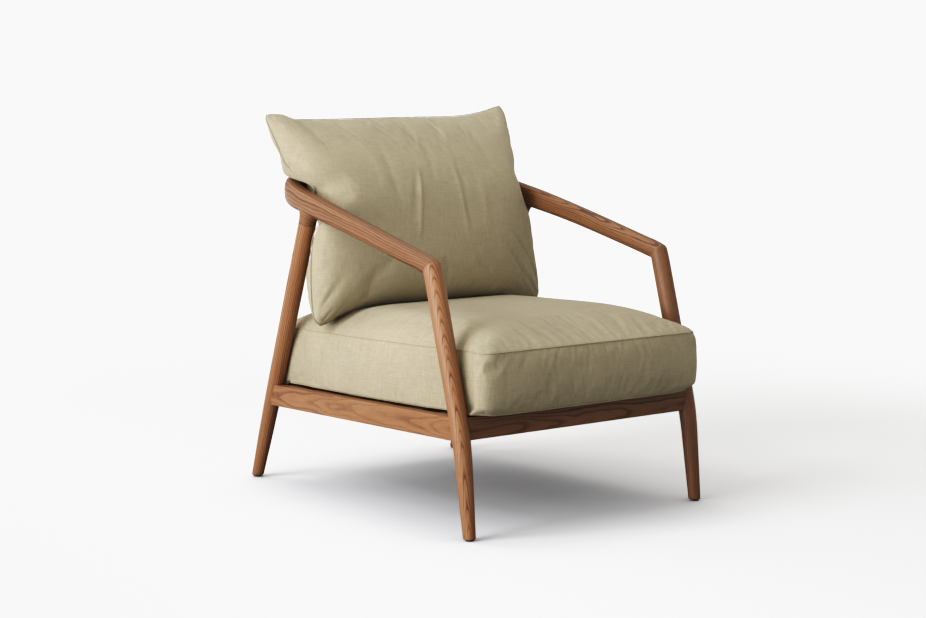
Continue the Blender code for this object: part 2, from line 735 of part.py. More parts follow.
# ----------------------------------------------------------------- glides
for side, word in SIDES:
    for end_word, (cx, cy) in (("front", (FRONT_LEG_X, front_centre(LEG_BOTTOM))),
                               ("rear", (rear_point(1, LEG_BOTTOM).x, rear_point(1, LEG_BOTTOM).y))):
        turned(f"foot_glide_{end_word}_{word}",
               [(0, GLIDE_T), (GLIDE_R, GLIDE_T), (GLIDE_R, 0.0006), (GLIDE_R - 0.0006, 0.0), (0, 0)],
               Matrix.Translation(shifted((side * cx, cy, 0))), NYLON, sides=16)


# --------------------------------------------------------------- cushions
def rounded_block(cuts, power):
    """Points of a cube pushed onto a superellipsoid, as a bmesh."""
    bm = bmesh.new()
    bmesh.ops.create_cube(bm, size=2.0)
    bmesh.ops.subdivide_edges(bm, edges=bm.edges[:], cuts=cuts, use_grid_fill=True)
    for v in bm.verts:
        c = v.co
        # ease the grid towards the edges, where the surface turns fastest
        for i in range(3):
            c[i] = math.sin(c[i] * math.pi / 2) * 0.35 + c[i] * 0.65
        k = (abs(c.x) ** power + abs(c.y) ** power + abs(c.z) ** power) ** (-1 / power)
        v.co = c * k
    return bm


bm = rounded_block(9, 12.0)
for v in bm.verts:
    u, w, h = v.co
    y = (SEAT_FRONT_Y + SEAT_REAR_Y) / 2 + w * (SEAT_REAR_Y - SEAT_FRONT_Y) / 2
    x = u * along(SEAT_WIDTH, y)
    base = rail_top_z(y) + 0.0016
    z = base + (h + 1) / 2 * SEAT_SIDE_H
    crown = SEAT_CROWN * (1 - abs(u) ** 3.2) ** 0.75 * (1 - abs(w) ** 4.0) ** 0.75
    z += crown * ((h + 1) / 2) ** 3
    v.co = shifted((x, y, z))
face_outward(bm)
mesh = bpy.data.meshes.new("seat_cushion")
bm.to_mesh(mesh)
bm.free()
place(mesh, "seat_cushion", LINEN)

# where the frame holds the back cushion: the inner line of the arms and back
# rail in plan, and the front of the rear legs
RAIL_INNER = ((0.0, 0.7756), (0.15, 0.7675), (0.19, 0.7610), (0.226, 0.7525), (0.256, 0.7380),
              (0.2765, 0.7130), (0.286, 0.6900), (0.294, 0.6600), (0.299, 0.6300), (0.31, 0.5950))


def back_limit(x, z):
    """How far back the cushion may reach at a point."""
    near_rail = smoothstep((0.068 - abs(z - 0.712)) / 0.024)
    rail_y = along(RAIL_INNER, min(abs(x), 0.299)) - 0.007
    limit = rail_y + (1 - near_rail) * 0.16
    near_leg = smoothstep((abs(x) - 0.225) / 0.040) * smoothstep((0.700 - z) / 0.040)
    leg_y = rear_point(1, min(z, 0.70)).y - 0.0315
    return min(limit, leg_y + (1 - near_leg) * 0.40)


BACK_LOW, BACK_HIGH = BACK_SHAPE[0][0], BACK_SHAPE[-1][0]
BACK_FRONT = Vector((0, -0.945, 0.327)).normalized()
bm = rounded_block(9, 14.0)
for v in bm.verts:
    u, w, h = v.co                       # across, thickness, up
    f = (h + 1) / 2
    z = BACK_LOW + f * (BACK_HIGH - BACK_LOW)
    y, half, power, thick = (along([(row[0], row[k]) for row in BACK_SHAPE], z)
                             for k in (1, 2, 3, 4))
    beside_arms = smoothstep((0.100 - abs(z - 0.750)) / 0.040)
    x = u * half * (1 - 0.055 * max(0.0, w) * beside_arms)
    swell = max(0.0, 1 - abs(u) ** power) ** (1 / power)
    swell *= max(0.0, 1 - abs(h) ** 3.2) ** 0.6
    depth = w * (0.006 + thick * swell)
    lift = 0.034 * (1 - (x / 0.342) ** 2) * (1 - f) ** 2
    sag = -0.028 * (1 - u * u) * f * f
    p = Vector((x, y, z + lift + sag)) + BACK_FRONT * depth
    limit = back_limit(p.x, p.z)
    over = p.y - limit
    if over > -0.012:                    # settles softly against the frame
        t = min(1.0, (over + 0.012) / 0.024)
        p.y = limit - 0.012 + 0.009 * t * (2 - t)
    v.co = shifted(p)
face_outward(bm)
mesh = bpy.data.meshes.new("back_cushion")
bm.to_mesh(mesh)
bm.free()
place(mesh, "back_cushion", LINEN)
bpy.context.view_layer.update()
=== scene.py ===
"""Looks of the wooden lounge armchair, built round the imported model.

Metres, +Z up, front of the chair towards -Y.  The structure stays where the
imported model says; the outer frame gets smooth skins with a grain that follows
each piece, and the two cushions are made by cloth simulation.
"""
import math

import bmesh
import bpy
import numpy as np
from mathutils import Matrix, Vector
from mathutils.bvhtree import BVHTree


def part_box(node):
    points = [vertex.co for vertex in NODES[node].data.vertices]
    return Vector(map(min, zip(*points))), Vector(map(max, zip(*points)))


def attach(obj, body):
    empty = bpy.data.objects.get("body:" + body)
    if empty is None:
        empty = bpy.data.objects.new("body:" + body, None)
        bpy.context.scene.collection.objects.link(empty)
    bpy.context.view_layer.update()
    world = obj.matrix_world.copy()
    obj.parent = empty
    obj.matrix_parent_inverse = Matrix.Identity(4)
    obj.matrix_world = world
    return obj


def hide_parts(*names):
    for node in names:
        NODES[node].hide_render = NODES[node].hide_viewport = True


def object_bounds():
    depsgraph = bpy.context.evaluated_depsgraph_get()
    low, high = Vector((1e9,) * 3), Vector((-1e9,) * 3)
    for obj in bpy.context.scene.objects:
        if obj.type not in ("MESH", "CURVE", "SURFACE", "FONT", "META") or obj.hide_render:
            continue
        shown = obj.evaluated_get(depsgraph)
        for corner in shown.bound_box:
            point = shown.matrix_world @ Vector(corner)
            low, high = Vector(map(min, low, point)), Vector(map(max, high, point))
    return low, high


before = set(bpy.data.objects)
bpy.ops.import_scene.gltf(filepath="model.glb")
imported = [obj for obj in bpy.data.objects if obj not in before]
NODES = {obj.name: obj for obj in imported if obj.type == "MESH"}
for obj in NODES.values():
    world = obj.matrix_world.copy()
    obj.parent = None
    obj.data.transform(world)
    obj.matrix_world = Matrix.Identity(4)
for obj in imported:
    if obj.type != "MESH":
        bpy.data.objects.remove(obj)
CAD_LO, CAD_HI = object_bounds()
SIDES = ((-1, "left"), (1, "right"))

# ------------------------------------------------------------------ helpers
SEAT_LO, SEAT_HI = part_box("seat_cushion")
BACK_LO, BACK_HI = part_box("back_cushion")
SHIFT = Vector((0, SEAT_LO.y + 0.0360, 0))      # from drawing places to the row frame


def smoothstep(t):
    t = max(0.0, min(1.0, t))
    return t * t * (3.0 - 2.0 * t)


def np_smooth(t):
    t = np.clip(t, 0.0, 1.0)
    return t * t * (3.0 - 2.0 * t)


def along(table, t):
    for (t0, v0), (t1, v1) in zip(table, table[1:]):
        if t <= t1:
            return v0 + (v1 - v0) * (t - t0) / (t1 - t0)
    return table[-1][1]


def new_object(name, mesh, smooth=True):
    obj = bpy.data.objects.new(name, mesh)
    bpy.context.scene.collection.objects.link(obj)
    if smooth:
        mesh.shade_smooth()
    return obj


def mesh_from_bmesh(name, bm):
    mesh = bpy.data.meshes.new(name)
    bm.to_mesh(mesh)
    bm.free()
    return mesh


def evaluated_mesh(obj, name):
    bpy.context.view_layer.update()
    graph = bpy.context.evaluated_depsgraph_get()
    return bpy.data.meshes.new_from_object(obj.evaluated_get(graph))


def apply_modifiers(obj):
    mesh = evaluated_mesh(obj, obj.name)
    old = obj.data
    obj.modifiers.clear()
    obj.data = mesh
    bpy.data.meshes.remove(old)
    mesh.shade_smooth()
    return obj


def coords_of(mesh):
    co = np.empty(len(mesh.vertices) * 3, np.float32)
    mesh.vertices.foreach_get("co", co)
    return co.reshape(-1, 3).astype(float)


def set_coords(mesh, co):
    mesh.vertices.foreach_set("co", co.astype(np.float32).ravel())
    mesh.update()


def set_vector_attribute(mesh, name, values):
    attribute = mesh.attributes.get(name) or mesh.attributes.new(name, "FLOAT_VECTOR", "POINT")
    attribute.data.foreach_set("vector", values.astype(np.float32).ravel())


def skin(bm, rings, cap=True):
    rows = [[bm.verts.new(p) for p in ring] for ring in rings]
    count = len(rings[0])
    for lower, upper in zip(rows, rows[1:]):
        for i in range(count):
            j = (i + 1) % count
            bm.faces.new((lower[i], lower[j], upper[j], upper[i]))
    if cap:
        bm.faces.new(list(reversed(rows[0])))
        bm.faces.new(rows[-1])
    return rows


def face_outward(bm):
    bmesh.ops.recalc_face_normals(bm, faces=bm.faces)
    if bm.calc_volume(signed=True) < 0:
        bmesh.ops.reverse_faces(bm, faces=bm.faces)


# ------------------------------------------------------------ frame geometry
FRONT_LEG_X = 0.3345
FRONT_SLOPE_LOW, FRONT_SLOPE_HIGH = 0.1213, 0.282
FRONT_BEND = (0.15, 0.27)
FOOT_R, FRONT_RAIL_R, CORNER_R = 0.0138, 0.0202, 0.0212
LEG_BOTTOM = 0.0033
GAP = 0.0003
REAR_FOOT, REAR_TOP = Vector((0.3097, 0.8748, 0.0)), Vector((0.3240, 0.6220, 0.6400))
REAR_R = ((0.0, 0.0141), (0.11, 0.0172), (0.20, 0.0188), (0.30, 0.0196),
          (0.52, 0.0208), (1.0, 0.0209))
ARM_RISE = 0.25
ARM_LINE = (
    (0.3345, 0.1800, 0.5865, 0.0210, 0.0206, 2.1),
    (0.3345, 0.2400, 0.6015, 0.0206, 0.0206, 2.3),
    (0.3344, 0.3200, 0.6213, 0.0203, 0.0210, 2.5),
    (0.3336, 0.4000, 0.6408, 0.0202, 0.0216, 2.6),
    (0.3318, 0.4750, 0.6582, 0.0202, 0.0228, 2.7),
    (0.3290, 0.5450, 0.6735, 0.0203, 0.0243, 2.8),
    (0.3250, 0.6050, 0.6855, 0.0204, 0.0258, 2.8),
    (0.3190, 0.6550, 0.6953, 0.0202, 0.0274, 2.8),
    (0.3085, 0.6990, 0.7047, 0.0196, 0.0291, 2.7),
    (0.2905, 0.7345, 0.7122, 0.0188, 0.0308, 2.7),
    (0.2640, 0.7565, 0.7165, 0.0176, 0.0315, 2.7),
    (0.2300, 0.7690, 0.7190, 0.0164, 0.0315, 2.7),
    (0.1930, 0.7768, 0.7205, 0.0156, 0.0312, 2.7),
    (0.1500, 0.7825, 0.7215, 0.0149, 0.0310, 2.7),
    (0.1000, 0.7866, 0.7221, 0.0144, 0.0308, 2.7),
    (0.0500, 0.7889, 0.7224, 0.0141, 0.0306, 2.7),
    (0.0000, 0.7896, 0.7225, 0.0140, 0.0306, 2.7),
)
JOINT_STATION = 12
PER_SPAN = 10
AROUND = 56


def front_centre(z):
    low, high = FRONT_BEND
    if z <= low:
        return FRONT_SLOPE_LOW * z
    if z >= high:
        bend = (FRONT_SLOPE_LOW + FRONT_SLOPE_HIGH) / 2 * (high - low)
        return FRONT_SLOPE_LOW * low + bend + FRONT_SLOPE_HIGH * (z - high)
    s = (z - low) / (high - low)
    return FRONT_SLOPE_LOW * z + (FRONT_SLOPE_HIGH - FRONT_SLOPE_LOW) * s * s / 2 * (high - low)


def front_slope(z):
    low, high = FRONT_BEND
    s = max(0.0, min(1.0, (z - low) / (high - low)))
    return FRONT_SLOPE_LOW + (FRONT_SLOPE_HIGH - FRONT_SLOPE_LOW) * s


def front_radius(z):
    if z < 0.21:
        return FOOT_R + (FRONT_RAIL_R - FOOT_R) * (z / 0.21) ** 0.9
    return FRONT_RAIL_R + (CORNER_R - FRONT_RAIL_R) * smoothstep((z - 0.21) / 0.26)


_b = FRONT_BEND[1]
_num = ARM_LINE[0][2] + ARM_RISE * (front_centre(_b) - FRONT_SLOPE_HIGH * _b - ARM_LINE[0][1])
CORNER_Z = _num / (1.0 - ARM_RISE * FRONT_SLOPE_HIGH)
CORNER_Y = front_centre(CORNER_Z)
LEG_UP = Vector((0.0, FRONT_SLOPE_HIGH, 1.0)).normalized()
ARM_BACK = Vector((0.0, 1.0, ARM_RISE)).normalized()
LEG_OUT = Vector((0.0, -LEG_UP.z, LEG_UP.y))
ARM_OUT = Vector((0.0, -ARM_BACK.z, ARM_BACK.y))
MITRE_N = (LEG_UP + ARM_BACK).normalized()
MITRE_OUT = (LEG_OUT + ARM_OUT).normalized()
HALF_TURN = math.tan(LEG_UP.angle(ARM_BACK) / 2)
CORNER_ROUND = 0.0034
CORNER_REACH = 0.030


def ring_angles():
    return [2 * math.pi * i / AROUND for i in range(AROUND)]


def corner_ring(side, axis, outward, back_off):
    blend = 1.0 - back_off / CORNER_REACH
    centre = Vector((side * FRONT_LEG_X, CORNER_Y, CORNER_Z)) + SHIFT
    ring = []
    for a in ring_angles():
        u = CORNER_R * math.sin(a)
        p = centre + Vector((CORNER_R * math.cos(a), 0, 0)) + outward * u
        p += axis * (u * HALF_TURN * blend - back_off)
        ease = max(0.0, math.sin(a)) ** 2 * blend ** 2.2
        ring.append(p - MITRE_OUT * (CORNER_ROUND * ease))
    return ring


def smooth_line(rows, per_span):
    out, n = [], len(rows)
    for k in range(n - 1):
        p0 = rows[k - 1] if k else [2 * a - b for a, b in zip(rows[0], rows[1])]
        p1, p2 = rows[k], rows[k + 1]
        p3 = rows[k + 2] if k + 2 < n else (-rows[n - 2][0],) + tuple(rows[n - 2][1:])
        for s in range(per_span):
            t = s / per_span
            out.append(tuple(
                0.5 * (2 * b + (c - a) * t + (2 * a - 5 * b + 4 * c - d) * t * t
                       + (3 * b - a - 3 * c + d) * t ** 3)
                for a, b, c, d in zip(p0, p1, p2, p3)))
    out.append(tuple(rows[-1]))
    return out


LINE = smooth_line(ARM_LINE, PER_SPAN)
JOINT = JOINT_STATION * PER_SPAN


def line_point(side, k):
    return Vector((side * LINE[k][0], LINE[k][1], LINE[k][2])) + SHIFT


def line_tangent(side, k):
    if k == 0:
        return ARM_BACK.copy()
    if k == len(LINE) - 1:
        return Vector((-side, 0, 0))
    return (line_point(side, k + 1) - line_point(side, k - 1)).normalized()


def section(centre, tangent, half_w, half_h, power):
    level = Vector((0, 0, 1)).cross(tangent).normalized() * -1
    upward = tangent.cross(level).normalized()
    if upward.z < 0:
        upward = -upward
    ring = []
    for a in ring_angles():
        c, s = math.cos(a), math.sin(a)
        x = math.copysign(abs(c) ** (2 / power), c) * half_w
        z = math.copysign(abs(s) ** (2 / power), s) * half_h
        ring.append(centre + level * x + upward * z)
    return ring


def rear_axis(side):
    foot = Vector((side * REAR_FOOT.x, REAR_FOOT.y, REAR_FOOT.z)) + SHIFT
    top = Vector((side * REAR_TOP.x, REAR_TOP.y, REAR_TOP.z)) + SHIFT
    return foot, (top - foot).normalized(), (top - foot).length


def leg_matrix(side):
    foot, axis, _ = rear_axis(side)
    x_axis = Vector((0, 1, 0)).cross(axis).normalized()
    y_axis = axis.cross(x_axis)
    m = Matrix((x_axis, y_axis, axis)).transposed().to_4x4()
    m.translation = foot
    return m


def half_loop(bm, side):
    """One front leg, its arm and half the back rail as one closed skin."""
    rings = []
    heights = [LEG_BOTTOM] + [0.008 + 0.0085 * k for k in range(59)]
    for z in heights:
        if z > CORNER_Z - 0.034:
            break
        up = Vector((0.0, front_slope(z), 1.0)).normalized() if z > LEG_BOTTOM else Vector((0, 0, 1))
        out = Vector((0.0, -up.z, up.y))
        centre = Vector((side * FRONT_LEG_X, front_centre(z), z)) + SHIFT
        r = front_radius(z)
        rings.append([centre + Vector((r * math.cos(a), 0, 0)) + out * (r * math.sin(a))
                      for a in ring_angles()])
    steps = (0.030, 0.025, 0.020, 0.016, 0.0125, 0.0095, 0.0065, 0.0045, 0.0025, 0.0012)
    for back_off in steps:
        rings.append(corner_ring(side, LEG_UP, LEG_OUT, back_off))
    rings.append(corner_ring(side, LEG_UP, LEG_OUT, 0.0))
    for back_off in reversed(steps):
        rings.append(corner_ring(side, -ARM_BACK, ARM_OUT, back_off))
    last = len(LINE) - 1
    for k in range(0, last + 1, 2):
        rings.append(section(line_point(side, k), line_tangent(side, k), *LINE[k][3:6]))
    rings.append([p + Vector((-side * 0.006, 0, 0)) for p in rings[-1]])
    skin(bm, rings)


SOCKET = ((-0.010, 0.0209, 0.0209, 0.0209), (GAP / 2, 0.0209, 0.0209, 0.0209),
          (0.006, 0.0208, 0.0211, 0.0214), (0.012, 0.0207, 0.0221, 0.0231),
          (0.018, 0.0205, 0.0241, 0.0264), (0.024, 0.0203, 0.0275, 0.0316),
          (0.030, 0.0199, 0.0330, 0.0385), (0.036, 0.0186, 0.0380, 0.0440),
          (0.044, 0.0150, 0.0300, 0.0380))


def socket(bm, side):
    m, (_, _, length) = leg_matrix(side), rear_axis(side)
    rings = []
    for s, rx, front, rear in SOCKET:
        rings.append([m @ Vector((rx * math.cos(a), (rear if math.sin(a) > 0 else front)
                                  * math.sin(a), length + s)) for a in ring_angles()])
    skin(bm, rings)


def remesh(obj, voxel):
    mod = obj.modifiers.new("remesh", "REMESH")
    mod.mode = "VOXEL"
    mod.voxel_size = voxel
    mod.adaptivity = 0.0
    return apply_modifiers(obj)


def smooth_by(obj, iterations, factor=0.5, group=None):
    mod = obj.modifiers.new("smooth", "SMOOTH")
    mod.factor = factor
    mod.iterations = iterations
    if group:
        mod.vertex_group = group
    return apply_modifiers(obj)


def cut_copy(source, name, planes):
    """A closed copy of what lies on the positive side of each (point, normal)."""
    bm = bmesh.new()
    bm.from_mesh(source.data)
    for point, normal in planes:
        result = bmesh.ops.bisect_plane(
            bm, geom=bm.verts[:] + bm.edges[:] + bm.faces[:], dist=1e-6,
            plane_co=point, plane_no=normal, clear_inner=True)
        edges = [e for e in result["geom_cut"] if isinstance(e, bmesh.types.BMEdge)]
        bmesh.ops.holes_fill(bm, edges=[e for e in edges if e.is_boundary], sides=0)
    mesh = mesh_from_bmesh(name, bm)
    obj = new_object(name, mesh)
    mesh.set_sharp_from_angle(angle=math.radians(50))
    return obj


def build_frame_skins():
    bm = bmesh.new()
    for side, _ in SIDES:
        half_loop(bm, side)
        socket(bm, side)
    face_outward(bm)
    loop = new_object("frame_loop_raw", mesh_from_bmesh("frame_loop_raw", bm))
    remesh(loop, 0.0021)
    smooth_by(loop, 5)
    # the fillet where the socket flows into the arm
    group = loop.vertex_groups.new(name="fillet")
    co = coords_of(loop.data)
    weight = np.zeros(len(co))
    for side, _ in SIDES:
        foot, axis, length = rear_axis(side)
        crotch = np.array(foot + axis * (length + 0.028))
        reach = np.linalg.norm((co - crotch) * np.array((1.0, 0.85, 1.0)), axis=1)
        below = np_smooth(((co - np.array(foot)) @ np.array(axis) - length - 0.003) / 0.010)
        weight = np.maximum(weight, np_smooth((0.062 - reach) / 0.030) * below)
    for i in np.nonzero(weight > 0.01)[0]:
        group.add([int(i)], float(weight[i]), "REPLACE")
    smooth_by(loop, 34, 0.5, "fillet")
    # the outside of each mitred corner is rounded over as one soft knuckle
    group = loop.vertex_groups.new(name="corner")
    co = coords_of(loop.data)
    weight = np.zeros(len(co))
    for side, _ in SIDES:
        rel = co - np.array(Vector((side * FRONT_LEG_X, CORNER_Y, CORNER_Z)) + SHIFT)
        across = np.abs(rel @ np.array(MITRE_N))
        outward = rel @ np.array(MITRE_OUT)
        near = np_smooth((0.062 - np.linalg.norm(rel, axis=1)) / 0.016)
        weight = np.maximum(weight, near * np_smooth((0.034 - across) / 0.026)
                            * np_smooth((outward + 0.008) / 0.020))
    for i in np.nonzero(weight > 0.01)[0]:
        group.add([int(i)], float(weight[i]), "REPLACE")
    smooth_by(loop, 44, 0.5, "corner")
    mitre = Vector((0, CORNER_Y, CORNER_Z)) + SHIFT
    pieces = {}
    for side, word in SIDES:
        inward = Vector((side, 0, 0))
        pieces[f"front_leg_{word}"] = cut_copy(
            loop, f"front_leg_skin_{word}", [(mitre, -MITRE_N), (Vector((0, 0, 0)), inward)])
        joint, tangent = line_point(side, JOINT), line_tangent(side, JOINT)
        foot, axis, length = rear_axis(side)
        rough = cut_copy(loop, f"arm_rough_{word}", [(Vector((side * 0.12, 0, 0)), inward),
                                                     (mitre, MITRE_N)])
        arm = cut_copy(rough, f"arm_skin_{word}", [(joint, -tangent)])
        bpy.data.objects.remove(rough)
        pieces[f"arm_{word}"] = trim_socket(arm, foot, axis, length)
    (jl, tl), (jr, tr) = [(line_point(s, JOINT), line_tangent(s, JOINT)) for s, _ in SIDES]
    pieces["back_rail"] = cut_copy(
        loop, "back_rail_skin", [(jl, tl), (jr, tr), (Vector((0, CORNER_Y + 0.45, 0)) + SHIFT,
                                                      Vector((0, 1, 0)))])
    bpy.data.objects.remove(loop)
    return pieces


def trim_socket(arm, foot, axis, length):
    """Cuts the socket square where the rear leg meets it."""
    bm = bmesh.new()
    bm.from_mesh(arm.data)
    point = foot + axis * (length + GAP / 2)
    near = [f for f in bm.faces if (f.calc_center_median() - point).length < 0.040]
    geom = set(near)
    for f in near:
        geom.update(f.edges)
        geom.update(f.verts)
    result = bmesh.ops.bisect_plane(bm, geom=list(geom), dist=1e-6, plane_co=point,
                                    plane_no=axis, clear_inner=True)
    edges = [e for e in result["geom_cut"] if isinstance(e, bmesh.types.BMEdge)]
    bmesh.ops.holes_fill(bm, edges=[e for e in edges if e.is_boundary], sides=0)
    bm.to_mesh(arm.data)
    bm.free()
    arm.data.shade_smooth()
    arm.data.set_sharp_from_angle(angle=math.radians(50))
    return arm


def rear_leg_skin(side, word):
    m, (_, _, length) = leg_matrix(side), rear_axis(side)
    bm = bmesh.new()
    rings = []
    top, bottom = length - GAP / 2, LEG_BOTTOM / rear_axis(side)[1].z
    heights = [bottom - 0.0004, bottom + 0.0010] + list(np.linspace(0.012, top - 0.006, 74)) + [
        top - 0.0010, top - 0.0003, top]
    for n, h in enumerate(heights):
        r = along(REAR_R, h)
        if n == 0:
            r -= 0.0012
        if n == len(heights) - 1:
            r -= 0.0005
        elif n == len(heights) - 2:
            r -= 0.0001
        rings.append([m @ Vector((r * math.cos(a), r * math.sin(a), h)) for a in ring_angles()])
    # the foot is cut level with the floor
    rings[0] = [Vector((p.x, p.y, max(p.z, LEG_BOTTOM))) for p in rings[0]]
    rings[1] = [Vector((p.x, p.y, max(p.z, LEG_BOTTOM + 0.0010))) for p in rings[1]]
    skin(bm, rings)
    face_outward(bm)
    obj = new_object(f"rear_leg_skin_{word}", mesh_from_bmesh(f"rear_leg_skin_{word}", bm))
    obj.data.set_sharp_from_angle(angle=math.radians(40))
    return obj


def set_grain(obj, points, ups):
    """Stores (distance along the piece, across, up) for every point of a mesh.
    points is the centre line and ups the direction called up along it."""
    co = coords_of(obj.data)
    pts, up = np.array(points, float), np.array(ups, float)
    seg = pts[1:] - pts[:-1]
    seg_len = np.linalg.norm(seg, axis=1)
    start = np.concatenate([[0], np.cumsum(seg_len)])
    best = np.full(len(co), 1e9)
    out = np.zeros((len(co), 3))
    for k in range(len(seg)):
        d = seg[k] / seg_len[k]
        rel = co - pts[k]
        t = rel @ d
        lo = -1e9 if k == 0 else 0.0
        hi = 1e9 if k == len(seg) - 1 else seg_len[k]
        tc = np.clip(t, lo, hi)
        off = rel - tc[:, None] * d
        dist = np.linalg.norm(off, axis=1)
        f = np.clip(tc / seg_len[k], 0, 1)[:, None]
        u_dir = up[k] * (1 - f) + up[k + 1] * f
        u_dir = u_dir - (u_dir @ d)[:, None] * d
        u_dir /= np.linalg.norm(u_dir, axis=1)[:, None]
        side_dir = np.cross(u_dir, d)
        better = dist < best
        best = np.where(better, dist, best)
        vals = np.stack([start[k] + tc, np.sum(off * side_dir, axis=1),
                         np.sum(off * u_dir, axis=1)], axis=1)
        out[better] = vals[better]
    set_vector_attribute(obj.data, "grain", out)


# ------------------------------------------------------------ shader helpers
class Nodes:
    def __init__(self, name):
        self.mat = bpy.data.materials.new(name)
        self.mat.use_nodes = True
        self.tree = self.mat.node_tree
        self.bsdf = self.tree.nodes["Principled BSDF"]

    def add(self, kind, **settings):
        node = self.tree.nodes.new(kind)
        for key, value in settings.items():
            setattr(node, key, value)
        return node

    def put(self, socket, value):
        if isinstance(value, bpy.types.NodeSocket):
            self.tree.links.new(value, socket)
        else:
            socket.default_value = value

    def math(self, operation, a, b=None, c=None, clamp=False):
        node = self.add("ShaderNodeMath", operation=operation, use_clamp=clamp)
        for i, v in enumerate((a, b, c)):
            if v is not None:
                self.put(node.inputs[i], v)
        return node.outputs[0]

    def vmath(self, operation, a, b=None, scale=None):
        node = self.add("ShaderNodeVectorMath", operation=operation)
        self.put(node.inputs[0], a)
        if b is not None:
            self.put(node.inputs[1], b)
        if scale is not None:
            self.put(node.inputs["Scale"], scale)
        return node.outputs["Value"] if operation in ("LENGTH", "DOT_PRODUCT") else node.outputs[0]

    def split(self, vector):
        node = self.add("ShaderNodeSeparateXYZ")
        self.put(node.inputs[0], vector)
        return node.outputs

    def join(self, x, y, z):
        node = self.add("ShaderNodeCombineXYZ")
        for i, v in enumerate((x, y, z)):
            self.put(node.inputs[i], v)
        return node.outputs[0]

    def noise(self, vector, scale, detail=2.0, roughness=0.5, distortion=0.0, out="Fac"):
        node = self.add("ShaderNodeTexNoise")
        self.put(node.inputs["Vector"], vector)
        self.put(node.inputs["Scale"], scale)
        self.put(node.inputs["Detail"], detail)
        self.put(node.inputs["Roughness"], roughness)
        self.put(node.inputs["Distortion"], distortion)
        return node.outputs[out]

    def white(self, value):
        node = self.add("ShaderNodeTexWhiteNoise", noise_dimensions="1D")
        self.put(node.inputs["W"], value)
        return node.outputs["Value"]

    def remap(self, value, low, high, to_low=0.0, to_high=1.0, smooth=True):
        node = self.add("ShaderNodeMapRange")
        node.interpolation_type = "SMOOTHSTEP" if smooth else "LINEAR"
        for i, v in enumerate((value, low, high, to_low, to_high)):
            self.put(node.inputs[i], v)
        return node.outputs[0]

    def ramp(self, value, stops, interpolation="LINEAR"):
        node = self.add("ShaderNodeValToRGB")
        node.color_ramp.interpolation = interpolation
        els = node.color_ramp.elements
        while len(els) < len(stops):
            els.new(0.5)
        for el, (pos, col) in zip(els, stops):
            el.position = pos
            el.color = (*col, 1.0) if len(col) == 3 else col
        self.put(node.inputs[0], value)
        return node.outputs[0]

    def mix(self, fac, a, b, blend="MIX"):
        node = self.add("ShaderNodeMix", data_type="RGBA", blend_type=blend)
        self.put(node.inputs[0], fac)
        self.put(node.inputs[6], a)
        self.put(node.inputs[7], b)
        return node.outputs[2]

    def grey(self, value):
        return self.join(value, value, value)

    def bump(self, height, strength, distance, normal=None):
        node = self.add("ShaderNodeBump")
        node.inputs["Strength"].default_value = strength
        node.inputs["Distance"].default_value = distance
        self.put(node.inputs["Height"], height)
        if normal is not None:
            self.put(node.inputs["Normal"], normal)
        return node.outputs[0]


